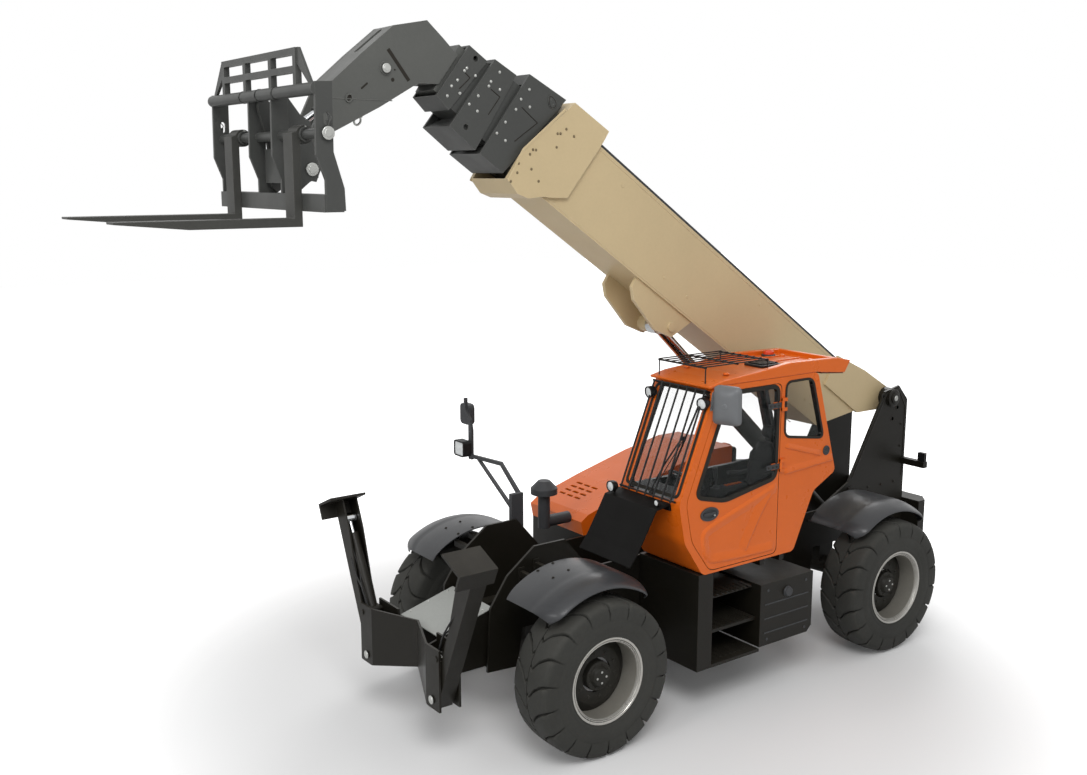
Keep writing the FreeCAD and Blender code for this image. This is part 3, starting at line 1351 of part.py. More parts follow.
def cab():
    """A hollow cab: walls as thick as their frames, with the door and every window cut."""
    piece = Piece("cab_frame")
    wall, out, into = S.cab_wall, S.cab_out, S.cab_in
    piece.pad("y", cab_line(0), into, out, S.cab_soft)
    piece.cut("y", cab_line(wall), into + wall, out - wall)
    piece.cut("y", door_line(0), out - wall - 1, out + 1, S.door_soft)
    piece.cut("y", quarter_line(0), out - wall - 1, out + 1, S.window_soft)
    piece.cut("y", far_window(0), into - 1, into + wall + 1, S.window_soft)
    edge = S.window_edge
    low, high = S.brow_z + S.sill_step, S.head_z - S.door_frame
    piece.cut("x", box((into + edge, low), (out - edge, high)), S.head_x / 2, S.brow_x + 1)
    piece.cut("x", box((into + edge, low), (out - edge, high)), S.rear_waist_x - 1, S.rear_head_x / 2)
    hinge_x, hinge_y = S.post_x, S.cab_out + S.hinge_radius
    for z in (S.hinge_low_z, S.hinge_high_z):
        piece.rod("z", (hinge_x, hinge_y), S.hinge_pin_radius, z - S.hinge_half * 2, z + S.hinge_half * 2)
        for start in (z - S.hinge_half * 2, z + S.hinge_half + S.gap):
            leaf = box((hinge_x - S.post_width, out - 1), (hinge_x, hinge_y + S.hinge_pin_radius))
            piece.pad("z", leaf, start, start + S.hinge_half - S.gap)


def cab_roof():
    """The roof cap: raised along both sides, dished between them, with a lip that runs out behind the cab."""
    piece = Piece("cab_roof")
    seat = S.head_z + S.roof_seat
    side = corners("roof") + [(S.rear_head_x, seat), (S.head_x, seat)]
    piece.pad("y", side, S.cab_in, S.cab_out)
    dish = box((S.roof_dish_rear_x, S.roof_floor_z), (S.roof_dish_front_x, S.roof_top_z))
    piece.cut("y", dish, S.cab_in + S.roof_lip, S.cab_out - S.roof_lip)


def door():
    """The door with its window cut, hung on two hinges at the rear post."""
    piece = Piece("cab_door")
    wall, out = S.cab_wall, S.cab_out
    piece.pad("y", door_line(S.door_gap), out - wall, out, S.door_soft)
    piece.cut("y", door_window(0), out - wall - 1, out + 1, S.window_soft)
    hinge_x, hinge_y = S.post_x, out + S.hinge_radius
    for z in (S.hinge_low_z, S.hinge_high_z):
        leaf = box((hinge_x, out - 1), (hinge_x + S.hinge_leaf, out + S.hinge_sheet))
        piece.pad("z", leaf, z - S.hinge_half, z + S.hinge_half)
        piece.rod("z", (hinge_x, hinge_y), S.hinge_radius, z - S.hinge_half, z + S.hinge_half)
        reach = S.hinge_half + 1
        piece.bore("z", (hinge_x, hinge_y), S.hinge_pin_radius + S.gap, z - reach, z + reach)


def glazing():
    """Panes set in the middle of the walls that they close."""
    middle = S.cab_out - S.cab_wall / 2
    half, seam, soft = S.glass_thick / 2, S.gap, S.window_soft
    pane = Piece("door_glass")
    pane.pad("y", door_window(seam), middle - half, middle + half, soft)
    panes = Piece("cab_glass")
    panes.pad("y", quarter_line(seam), middle - half, middle + half, soft)
    inner = S.cab_in + S.cab_wall / 2
    panes.pad("y", far_window(seam), inner - half, inner + half, soft)
    left, right = S.cab_in + S.window_edge + seam, S.cab_out - S.window_edge - seam
    low, high = S.brow_z + S.sill_step + seam, S.head_z - S.door_frame - seam
    for at, inset in ((front_x, -1 * S.cab_wall / 2), (rear_x, S.cab_wall / 2)):
        foot, top = at(low) + inset, at(high) + inset
        side = [(foot - half, low), (foot + half, low), (top + half, high), (top - half, high)]
        panes.pad("y", side, left, right)


def cab_inside():
    """Seat, dashboard and steering wheel."""
    seat = Piece("driver_seat")
    left, right = S.seat_y - S.seat_width / 2, S.seat_y + S.seat_width / 2
    floor = S.sill_z + S.cab_wall + S.gap
    seat.pad("y", corners("seat"), left, right)
    post = S.seat_width / 4
    seat.pad("y", box((S.seat_x - post, floor), (S.seat_x + post, S.seat_base_z)), S.seat_y - post, S.seat_y + post)
    board = Piece("dashboard")
    board.pad("y", corners("dashboard"), S.cab_in + S.cab_wall + S.gap, S.cab_out - S.cab_wall - S.board_set)
    wheel = Piece("steering_wheel", (S.helm_x, S.seat_y, S.helm_z), angle=-1 * S.helm_lean)
    rim_radius, grip = S.helm_radius, S.helm_grip
    ring = [(rim_radius - grip, -1 * grip), (rim_radius + grip, -1 * grip), (rim_radius + grip, grip), (rim_radius - grip, grip)]
    wheel.turned(ring, "Z_Axis")
    wheel.pad("z", box((-1 * rim_radius, -1 * grip), (rim_radius, grip)), -1 * grip, grip / 2)
    wheel.rod("z", (0, 0), grip * 2, -1 * S.helm_column, grip)


def guard():
    """Bars over the windscreen, and a grid that stands over the front of the roof."""
    run_x, run_z = S.head_x - S.brow_x, S.head_z - S.brow_z
    screen = Piece("screen_bars", (S.brow_x, 0, S.brow_z), angle=bearing(run_x, run_z), alone=False)
    length, bar = distance(run_x, run_z), S.guard_rod_radius
    first, last = S.cab_in + S.guard_margin, S.cab_out - S.guard_margin
    step = (last - first) / (S.guard_rods - 1)
    for index in range(int(S.guard_rods)):
        screen.rod("z", (S.guard_stand, first + index * step), bar, 0, length - S.guard_drop + bar)
    for level in (bar * 2, length - S.guard_drop):
        screen.rod("y", (S.guard_stand, level), bar, first - bar * 2, last + bar * 2)
        for y in (first, last):
            screen.rod("x", (y, level), bar, S.gap, S.guard_stand)
    grid, thin = Piece("roof_bars", alone=False), S.roof_rod_radius
    front, rear, top = S.roof_rods_front_x, S.roof_rods_rear_x, S.roof_rods_z
    near, far = S.roof_rods_in, S.roof_rods_out
    step = (far - near) / (S.roof_rods - 1)
    for index in range(int(S.roof_rods)):
        grid.rod("x", (near + index * step, top), thin, rear, front)
    for x in (rear + bar, (front + rear) / 2, front - bar):
        grid.rod("y", (x, top - S.roof_cross_drop), bar, near - bar, far + bar)
    edge, rise = corners("roof")[1], corners("roof")[2]
    ahead = front - bar
    brow = rise[1] + (ahead - bar - rise[0]) * (edge[1] - rise[1]) / (edge[0] - rise[0])
    for x, foot in ((rear + bar, S.roof_floor_z), (ahead, brow)):
        for y in (near, far):
            grid.rod("z", (x, y), thin, foot + S.gap, top - S.roof_cross_drop)
    both = joined("Part::Compound", "screen_guard", Links=[screen.body, grid.body])
    Made("screen_guard", both)


def fenders():
    """Four arched fenders, crowned across and turned about their wheels, on brackets from the frame."""
    piece = Piece("fenders")
    high, low, sheet = S.fender_radius, S.fender_lip_radius, S.fender_sheet
    for end, x in axle_places():
        rows = corners(f"fender_arms_{end}")
        for sign in (LEFT, RIGHT):
            inner, crown, outer = sign * S.fender_in, sign * S.fender_crown_y, sign * S.fender_out
            profile = [(inner, high), (crown, high), (outer, low), (outer - sign * sheet, low - sheet),
                       (crown - sign * sheet, high - sheet), (inner, high - sheet)]
            section = [(y, S.ground_radius + radius) for y, radius in profile]
            piece.swept(section, x, S.ground_radius, S.fender_sweep)
            for ahead, z in rows:
                start = x + ahead
                arm = box((start, z), (start + S.fender_arm_wide, z + S.fender_arm))
                piece.pad("y", arm, *between(sign, S.frame_half + S.gap, S.fender_in + S.fender_arm))


def side_boxes():
    """The tank behind the steps on the left, and the steps up to the door."""
    tank = Piece("side_tank")
    near, far = S.frame_half + S.gap, S.tank_out
    slope = S.tank_slope
    tank.pad("y", [(S.tank_rear_x, S.tank_low_z + slope), (S.tank_rear_x + slope, S.tank_low_z), (S.tank_front_x, S.tank_low_z),
                   (S.tank_front_x, S.tank_top_z), (S.tank_rear_x, S.tank_top_z)], near, far)
    steps = Piece("cab_steps")
    steps.pad("y", box((S.step_front_x, S.step_low_z), (S.step_panel_x, S.sill_z - S.gap)), near, far)
    steps.pad("y", box((S.tank_front_x + S.gap, S.step_low_z), (S.step_front_x + 1, S.sill_z - S.gap)), near, near + S.step_sheet)
    for level in range(3):
        z = S.step_low_z + level * S.step_rise
        start = S.tank_front_x + S.gap
        steps.pad("z", box((start, near), (S.step_front_x + 1, far - level * S.step_inset)), z, z + S.step_sheet)


def cowl():
    """The sheet that falls forward from the windscreen over the front wheel."""
    piece = Piece("front_cowl")
    sheet = S.cowl_sheet
    line = [(S.brow_x + S.gap, S.brow_z)] + corners("cowl")
    lean = (S.brow_x - S.knee_x) / (S.brow_z - S.knee_z)
    back = [(x - sheet, z - sheet) for x, z in reversed(line[1:])]
    back += [(S.brow_x + sheet, S.brow_z - sheet * 2), (S.brow_x + sheet, S.brow_z - S.cowl_flange)]
    back += [(S.brow_x - S.cowl_flange * lean + S.gap, S.brow_z - S.cowl_flange)]
    piece.pad("y", line + back, S.frame_half + S.gap, S.cowl_out)


def engine_side():
    """The engine's tray and block, and the hood over them, hinged behind its rear top edge."""
    near, far = -1 * (S.frame_half + S.gap), -1 * S.pod_out
    top, wall, base = S.hood_low_z - S.gap, S.pod_wall, S.pod_low_z
    rear, front = S.pod_rear_x, S.pod_front_x
    pod = Piece("engine_pod")
    pod.pad("y", box((rear, base), (front, top)), far, near)
    pod.cut("z", box((rear + wall, far + wall), (front - wall, near - wall)), base + wall, top + 1)
    block = Piece("engine_block")
    middle, centre = (rear + front) / 2, (far + near) / 2
    length, width = S.engine_length / 2, S.engine_width / 2
    floor = base + wall + S.gap
    block.pad("z", box((middle - length, centre - width), (middle + length, centre + width)), floor, floor + S.engine_height)
    hood = Piece("engine_hood")
    hood.pad("y", hood_line(0 * S.gap, S.hood_low_z), far, near)
    hood.cut("y", hood_line(S.hood_sheet, S.hood_low_z - 1), far + S.hood_sheet, near - S.hood_sheet)
    for row in range(int(S.louvre_rows)):
        for column in range(int(S.louvre_columns)):
            x, y = S.louvre_x + row * S.louvre_pitch, S.louvre_y + (column - 1) * S.louvre_step
            slot = box((x, y - S.louvre_length / 2), (x + S.louvre_width, y + S.louvre_length / 2))
            hood.cut("z", slot, S.hood_nose_z, S.hood_crest_z, S.louvre_width / 3)
    bar, rear = S.hood_hinge_radius, S.hood_rear_x
    hinge_x, hinge_z = rear - bar * 2, S.hood_top_z - bar * 2
    for y in (-1 * S.hood_hinge_reach + S.hood_hinge_set, near - S.hood_hinge_set):
        lug = box((hinge_x, hinge_z - bar), (rear + 1, hinge_z + bar))
        hood.pad("y", lug, y - S.hood_hinge_lug, y + S.hood_hinge_lug)
        hood.rod("y", (hinge_x, hinge_z), bar * 2 - 1, y - S.hood_hinge_lug, y + S.hood_hinge_lug)
        hood.bore("y", (hinge_x, hinge_z), bar + S.gap, y - S.hood_hinge_lug - 1, y + S.hood_hinge_lug + 1)
    post = Piece("hood_hinge")
    post.rod("y", (hinge_x, hinge_z), bar, -1 * S.hood_hinge_reach, near)
    foot = box((hinge_x - S.hood_post_width / 2, S.hood_post_low_z), (hinge_x + S.hood_post_width / 2, hinge_z))
    post.pad("y", foot, near - bar * 2, near)


def hood_line(inset, low):
    """Corners of the hood's side from its low front round to its low rear, moved inwards."""
    front, rear, bulge, nose = S.pod_front_x, S.hood_rear_x, S.hood_bulge, S.hood_nose_z
    row = [(front - inset, low), (front + bulge - inset, nose - bulge * 2), (front - bulge * 2 - inset / 2, nose - inset)]
    row += [(S.hood_rise_x, S.hood_rise_z - inset), (S.hood_crest_x, S.hood_crest_z - inset)]
    return row + [(rear + S.hood_flat, S.hood_top_z - inset), (rear + inset, S.hood_top_z - inset), (rear + inset, low)]


def intake():
    """The air intake: an elbow out of the hood's nose, a pipe upwards and a mushroom cap."""
    piece = Piece("intake_stack", (S.stack_x, S.stack_y, S.stack_elbow_z))
    radius, top, wide, high = S.stack_radius, S.stack_cap_z, S.stack_cap_radius, S.stack_cap_height
    piece.rod("z", (0, 0), radius, -1 * radius, top + 1)
    piece.rod("x", (0, 0), S.stack_elbow_radius, S.pod_front_x + S.hood_bulge + S.gap - S.stack_x, 0 * S.gap)
    skirt, inner = top - S.stack_skirt, wide - S.stack_sheet
    cap = [(0, top), (inner, top), (inner, skirt), (wide, skirt), (wide, top + high / 3)]
    cap += [(wide - radius / 3, top + high / 2), (radius, top + high), (0, top + high)]
    piece.turned(cap, "Z_Axis")


def mirrors():
    """A mirror on the cab's front post, and one on a strutted arm from the frame's nose."""
    left = Piece("mirror_left", (S.mirror_left_x, S.cab_out, S.mirror_left_z))
    tube, deep, high = S.mirror_tube, S.mirror_depth / 2, S.mirror_left_height / 2
    near, far = S.mirror_left_near, S.mirror_half - S.cab_out
    left.pad("y", box((-1 * S.mirror_foot, -1 * tube * 2), (tube, tube * 2)), S.gap, tube * 2)
    left.pad("y", box((-1 * tube, -1 * tube), (tube, tube)), S.gap, near + tube)
    left.pad("x", box((near, -1 * high), (far, high)), -1 * deep, deep, S.mirror_soft)
    side = S.frame_half + S.gap
    right = Piece("mirror_right", (S.mirror_right_x, -1 * side, S.mirror_right_z))
    right.pad("y", box((-1 * tube, 0 * S.gap), (S.mirror_bracket, S.mirror_bracket_top)), -1 * tube * 3, 0 * S.gap)
    for name in ("mirror_arm", "mirror_strut", "mirror_mast"):
        right.pad("x", corners(name), -1 * tube, tube)
    outer, inner = side - S.mirror_half, side - S.mirror_half + S.mirror_right_width
    level, high = S.mirror_mast_up_4, S.mirror_right_height / 2
    low = level - S.mirror_right_height * S.mirror_right_drop
    right.pad("x", box((outer, low), (inner, low + high * 2)), -1 * deep * 2, 1 - tube, S.mirror_soft)


def lamps():
    """Head lamp beside the windscreen's foot, small lamps, and work lamps on the arm and the tail."""
    piece = Piece("lamps")
    for index in range(1, int(S.lamp_count) + 1):
        x, y, z = (getattr(S, f"lamp_{index}_{part}") for part in ("x", "y", "z"))
        deep, wide, high = (getattr(S, f"lamp_{index}_{part}") for part in ("deep", "wide", "high"))
        face = box((y - wide / 2, z - high / 2), (y + wide / 2, z + high / 2))
        piece.pad("x", face, x, x + deep, S.lamp_soft)


def build():
    wheels()
    axles()
    knuckles()
    frame()
    tail_weight()
    front_beam()
    deck()
    stabilisers()
    lift_arm()
    hose_strip()
    sections()
    head()
    lift_cylinder()
    tilt_cylinder()
    coupler()
    carriage()
    forks()
    cab()
    cab_roof()
    door()
    glazing()
    cab_inside()
    guard()
    fenders()
    side_boxes()
    cowl()
    engine_side()
    intake()
    mirrors()
    lamps()


def check():
    """Stops where an object failed, a cut took nothing away, or a sub-part has no sound solid."""
    for item in doc.Objects:
        faults = [state for state in item.State if state in ("Invalid", "Error")]
        if faults:
            raise RuntimeError(f"{item.Label} is in state {faults}")
    for piece in pieces:
        shape = piece.body.Shape
        if shape.isNull() or not shape.isValid() or not shape.Solids:
            raise RuntimeError(f"{piece.label} has no sound solid")
        for item in piece.cuts:
            if item.Shape.Volume >= item.BaseFeature.Shape.Volume - 1:
                raise RuntimeError(f"{item.Label} cuts nothing")


def write():
    os.makedirs("parts", exist_ok=True)
    for piece in pieces:
        piece.body.Shape.exportStep(f"parts/{piece.label}.step")


build()
doc.recompute()
check()
write()
print(len(pieces), "sub-parts written")
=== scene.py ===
import math

import bmesh
import bpy
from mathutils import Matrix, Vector
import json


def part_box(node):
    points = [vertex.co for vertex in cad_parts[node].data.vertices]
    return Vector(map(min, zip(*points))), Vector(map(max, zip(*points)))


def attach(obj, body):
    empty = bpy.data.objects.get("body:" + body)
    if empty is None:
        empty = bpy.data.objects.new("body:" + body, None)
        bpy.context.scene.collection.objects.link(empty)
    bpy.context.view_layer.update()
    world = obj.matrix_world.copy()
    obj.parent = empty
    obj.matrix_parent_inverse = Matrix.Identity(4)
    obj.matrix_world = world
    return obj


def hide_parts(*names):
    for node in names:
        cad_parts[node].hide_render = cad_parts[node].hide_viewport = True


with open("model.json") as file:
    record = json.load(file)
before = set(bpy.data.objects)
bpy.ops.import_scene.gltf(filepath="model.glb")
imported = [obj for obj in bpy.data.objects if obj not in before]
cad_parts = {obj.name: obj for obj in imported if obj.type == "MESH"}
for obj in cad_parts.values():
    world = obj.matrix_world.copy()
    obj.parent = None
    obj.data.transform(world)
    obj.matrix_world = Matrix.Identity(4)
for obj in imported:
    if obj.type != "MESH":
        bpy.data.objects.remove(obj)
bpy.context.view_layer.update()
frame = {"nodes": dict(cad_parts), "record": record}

# A telehandler. X points forward, Y to the left and Z up, in metres, with the origin on the
# ground below the middle of the machine.
MID_X = -1.075
LEFT, RIGHT = 1, -1
WHITE = (1.0, 1.0, 1.0)


def linear(hex_colour):
    """A written colour as the light values that the nodes take."""
    parts = [int(hex_colour[i:i + 2], 16) / 255 for i in (0, 2, 4)]
    return tuple(p / 12.92 if p <= 0.04045 else ((p + 0.055) / 1.055) ** 2.4 for p in parts)


# Stage

PHOTO_WIDTH = 1087
SENSOR = 36.0
FOCAL_PIXELS = 1164.84
CAMERA_AT = (7.7179 + MID_X, 8.3399, 4.8683)
CAMERA_YAW = math.radians(36.1116)
CAMERA_PITCH = math.radians(10.3814)
CAMERA_SHIFT = -0.0013


def make_camera():
    data = bpy.data.cameras.new("photo_camera")
    data.sensor_width = SENSOR
    data.lens = FOCAL_PIXELS * SENSOR / PHOTO_WIDTH
    data.shift_y = CAMERA_SHIFT
    data.clip_end = 200.0
    camera = bpy.data.objects.new("photo_camera", data)
    camera.location = CAMERA_AT
    level = math.cos(CAMERA_PITCH)
    ahead = Vector((-math.sin(CAMERA_YAW) * level, -math.cos(CAMERA_YAW) * level, -math.sin(CAMERA_PITCH)))
    camera.rotation_euler = ahead.to_track_quat("-Z", "Y").to_euler()
    bpy.context.scene.collection.objects.link(camera)
    bpy.context.scene.camera = camera


# Name, place, what it points at, its size across and its power in watts.
LIGHTS = (
    ("key", (6.0, 9.0, 12.0), (0.0, 0.0, 1.8), 7.0, 900.0),
    ("front", (14.0, 2.0, 7.0), (0.0, 0.0, 2.0), 6.0, 420.0),
    ("rim", (-10.0, -6.0, 10.0), (0.0, 0.0, 2.0), 6.0, 420.0),
)
WORLD_LEVEL = 0.62
FLOOR_SIZE = 90.0
# Distance from the middle where the floor starts to fade to white and is white, and its own light there.
FLOOR_FADE = (2.8, 7.0, 0.03, 1.0)


def make_lights():
    for name, place, target, size, power in LIGHTS:
        data = bpy.data.lights.new(name, "AREA")
        data.shape = "DISK"
        data.size = size
        data.energy = power
        lamp = bpy.data.objects.new(name, data)
        lamp.location = place
        lamp.rotation_euler = (Vector(target) - Vector(place)).to_track_quat("-Z", "Y").to_euler()
        bpy.context.scene.collection.objects.link(lamp)


def make_world():
    """A soft studio: white where the camera, gloss and glass see it, and a plain level of light."""
    world = bpy.data.worlds.new("studio")
    bpy.context.scene.world = world
    world.use_nodes = True
    tree = world.node_tree
    light = tree.nodes["Background"]
    light.inputs["Strength"].default_value = WORLD_LEVEL
    seen = tree.nodes.new("ShaderNodeBackground")
    path = tree.nodes.new("ShaderNodeLightPath")
    mix = tree.nodes.new("ShaderNodeMixShader")
    coords = tree.nodes.new("ShaderNodeTexCoord")
    split = tree.nodes.new("ShaderNodeSeparateXYZ")
    ramp = tree.nodes.new("ShaderNodeValToRGB")
    tree.links.new(coords.outputs["Generated"], split.inputs[0])
    tree.links.new(split.outputs["Z"], ramp.inputs["Fac"])
    ramp.color_ramp.elements[0].color = (0.55, 0.55, 0.56, 1)
    ramp.color_ramp.elements[0].position = 0.0
    ramp.color_ramp.elements[1].color = (1, 1, 1, 1)
    ramp.color_ramp.elements[1].position = 0.8
    tree.links.new(ramp.outputs["Color"], light.inputs["Color"])
    seen.inputs["Color"].default_value = (*WHITE, 1)
    seen_by = path.outputs["Is Camera Ray"]
    for other in ("Is Glossy Ray", "Is Transmission Ray"):
        either = tree.nodes.new("ShaderNodeMath")
        either.operation = "MAXIMUM"
        tree.links.new(seen_by, either.inputs[0])
        tree.links.new(path.outputs[other], either.inputs[1])
        seen_by = either.outputs[0]
    tree.links.new(seen_by, mix.inputs["Fac"])
    tree.links.new(light.outputs[0], mix.inputs[1])
    tree.links.new(seen.outputs[0], mix.inputs[2])
    tree.links.new(mix.outputs[0], tree.nodes["World Output"].inputs["Surface"])


def make_floor():
    mesh = bpy.data.meshes.new("floor")
    half = FLOOR_SIZE / 2
    mesh.from_pydata([(-half, -half, 0), (half, -half, 0), (half, half, 0), (-half, half, 0)], [], [(0, 1, 2, 3)])
    floor = bpy.data.objects.new("floor", mesh)
    bpy.context.scene.collection.objects.link(floor)
    material = bpy.data.materials.new("floor_white")
    material.use_nodes = True
    tree = material.node_tree
    tree.nodes.remove(tree.nodes["Principled BSDF"])
    matte = tree.nodes.new("ShaderNodeBsdfDiffuse")
    matte.inputs["Color"].default_value = (0.8, 0.8, 0.8, 1)
    glow = tree.nodes.new("ShaderNodeEmission")
    path = tree.nodes.new("ShaderNodeLightPath")
    level = tree.nodes.new("ShaderNodeMath")
    level.operation = "MULTIPLY"
    coords = tree.nodes.new("ShaderNodeTexCoord")
    away = tree.nodes.new("ShaderNodeVectorMath")
    away.operation = "LENGTH"
    fade = tree.nodes.new("ShaderNodeMapRange")
    fade.interpolation_type = "SMOOTHSTEP"
    for name, value in zip(("From Min", "From Max", "To Min", "To Max"), FLOOR_FADE):
        fade.inputs[name].default_value = value
    tree.links.new(coords.outputs["Object"], away.inputs[0])
    tree.links.new(away.outputs["Value"], fade.inputs["Value"])
    tree.links.new(fade.outputs[0], level.inputs[1])
    tree.links.new(path.outputs["Is Camera Ray"], level.inputs[0])
    tree.links.new(level.outputs[0], glow.inputs["Strength"])
    both = tree.nodes.new("ShaderNodeAddShader")
    tree.links.new(matte.outputs[0], both.inputs[0])
    tree.links.new(glow.outputs[0], both.inputs[1])
    tree.links.new(both.outputs[0], tree.nodes["Material Output"].inputs["Surface"])
    mesh.materials.append(material)


# Materials

class Shader:
    """A node material put together with short calls."""

    def __init__(self, name):
        self.material = bpy.data.materials.new(name)
        self.material.use_nodes = True
        self.tree = self.material.node_tree
        self.surface = self.tree.nodes["Principled BSDF"]

    def node(self, kind, **settings):
        item = self.tree.nodes.new("ShaderNode" + kind)
        for key, value in settings.items():
            setattr(item, key, value)
        return item

    def link(self, source, target):
        self.tree.links.new(source, target)

    def set(self, item, **inputs):
        for key, value in inputs.items():
            socket = item.inputs[key.replace("_", " ")]
            if isinstance(value, bpy.types.NodeSocket):
                self.link(value, socket)
            else:
                socket.default_value = value
        return item

    def coords_node(self):
        if not hasattr(self, "coords"):
            self.coords = self.node("TexCoord")
        return self.coords

    def place(self):
        return self.coords_node().outputs["Object"]

    def noise(self, scale, detail=4.0, rough=0.55, stretch=None):
        item = self.node("TexNoise")
        self.set(item, Scale=scale, Detail=detail, Roughness=rough)
        source = self.place()
        if stretch:
            bend = self.node("Mapping")
            bend.inputs["Scale"].default_value = stretch
            self.link(source, bend.inputs["Vector"])
            source = bend.outputs[0]
        self.link(source, item.inputs["Vector"])
        return item.outputs["Fac"]

    def span(self, value, low, high, to_low=0.0, to_high=1.0):
        item = self.node("MapRange")
        self.set(item, Value=value, From_Min=low, From_Max=high, To_Min=to_low, To_Max=to_high)
        return item.outputs[0]

    def math(self, operation, first, second=0.0):
        item = self.node("Math", operation=operation)
        for index, value in enumerate((first, second)):
            if isinstance(value, bpy.types.NodeSocket):
                self.link(value, item.inputs[index])
            else:
                item.inputs[index].default_value = value
        return item.outputs[0]

    def mix(self, share, first, second, blend="MIX"):
        item = self.node("Mix", data_type="RGBA", blend_type=blend)
        for name, value in (("Factor", share), ("A", first), ("B", second)):
            socket = [one for one in item.inputs if one.name == name and one.enabled][0]
            if isinstance(value, bpy.types.NodeSocket):
                self.link(value, socket)
            elif name == "Factor":
                socket.default_value = value
            else:
                socket.default_value = (*value, 1)
        return [one for one in item.outputs if one.enabled][0]

    def edges(self, width):
        """1 close to a sharp edge, 0 on flat parts."""
        bevel = self.node("Bevel", samples=4)
        bevel.inputs["Radius"].default_value = width
        flat = self.node("NewGeometry")
        dot = self.node("VectorMath", operation="DOT_PRODUCT")
        self.link(bevel.outputs[0], dot.inputs[0])
        self.link(flat.outputs["True Normal"], dot.inputs[1])
        return self.span(dot.outputs["Value"], 0.99, 0.8)

    def facing(self, middle):
        """1 on faces that look towards a point, such as the inner walls round it, and 0 on the others."""
        away = self.node("VectorMath", operation="SUBTRACT")
        away.inputs[0].default_value = middle
        self.link(self.place(), away.inputs[1])
        dot = self.node("VectorMath", operation="DOT_PRODUCT")
        self.link(self.coords_node().outputs["Normal"], dot.inputs[0])
        self.link(away.outputs[0], dot.inputs[1])
        return self.span(dot.outputs["Value"], 0.0, 0.01)

    def bump(self, height, strength, distance):
        item = self.node("Bump")
        self.set(item, Height=height, Strength=strength, Distance=distance)
        self.link(item.outputs[0], self.surface.inputs["Normal"])


def paint(name, colour, rough=0.42, tone=0.12, coat=0.0, metal=0.0, grain=220.0, depth=0.0006, edge=0.0, edge_highlight=None,
          dust=0.0, dust_colour=None, spec=0.35, inside=None):
    """Painted or moulded skin: broad and fine changes of tone, uneven gloss, fine grain and a painted highlight along
    sharp edges.
    """
    shader = Shader(name)
    base = linear(colour)
    dark = tuple(c * (1 - tone) for c in base)
    light = tuple(min(1.0, c * (1 + tone)) for c in base)
    broad = shader.span(shader.noise(0.9, 5.0), 0.32, 0.68)
    skin = shader.mix(broad, dark, light)
    fine = shader.span(shader.noise(38.0, 3.0), 0.3, 0.7, 1 - tone / 3, 1 + tone / 3)
    shade = shader.node("CombineColor")
    for part in ("Red", "Green", "Blue"):
        shader.link(fine, shade.inputs[part])
    skin = shader.mix(1.0, skin, shade.outputs[0], "MULTIPLY")
    if dust:
        settled = shader.node("NewGeometry")
        split = shader.node("SeparateXYZ")
        shader.link(settled.outputs["Normal"], split.inputs[0])
        upward = shader.span(split.outputs["Z"], 0.2, 1.0, 0.0, dust)
        patchy = shader.math("MULTIPLY", upward, shader.span(shader.noise(5.0, 6.0), 0.35, 0.65, 0.35, 1.0))
        skin = shader.mix(patchy, skin, linear(dust_colour or "8a8478"))
    if inside:
        skin = shader.mix(shader.facing(inside[1]), skin, linear(inside[0]))
    # Painted highlight: sharp edges are lightened in patches towards the lighter colour given with the edge width.
    if edge:
        highlight_mask = shader.math("MULTIPLY", shader.edges(edge), shader.span(shader.noise(24.0, 4.0), 0.38, 0.62, 0.25, 0.8))
        skin = shader.mix(highlight_mask, skin, linear(edge_highlight))
    shader.link(skin, shader.surface.inputs["Base Color"])
    gloss = shader.span(shader.noise(4.0, 6.0, 0.6), 0.3, 0.7, rough - 0.05, rough + 0.07)
    shader.link(gloss, shader.surface.inputs["Roughness"])
    shader.surface.inputs["Metallic"].default_value = metal
    shader.surface.inputs["Specular IOR Level"].default_value = spec
    shader.surface.inputs["Coat Weight"].default_value = coat
    shader.surface.inputs["Coat Roughness"].default_value = 0.12
    shader.bump(shader.noise(grain, 2.0), 0.35, depth)
    return shader.material


def glass(name, tint, cover):
    """Thin tinted glass: mostly clear, glossy, with a slow change of tint and faint wipe marks."""
    shader = Shader(name)
    base = linear(tint)
    body = shader.mix(shader.span(shader.noise(1.4), 0.3, 0.7), base, tuple(c * 0.8 for c in base))
    shader.link(body, shader.surface.inputs["Base Color"])
    marks = shader.span(shader.noise(3.0, 6.0, 0.6, (1.0, 6.0, 1.0)), 0.35, 0.75, 0.015, 0.06)
    shader.link(marks, shader.surface.inputs["Roughness"])
    shader.surface.inputs["Specular IOR Level"].default_value = 0.8
    shader.surface.inputs["Alpha"].default_value = cover
    return shader.material
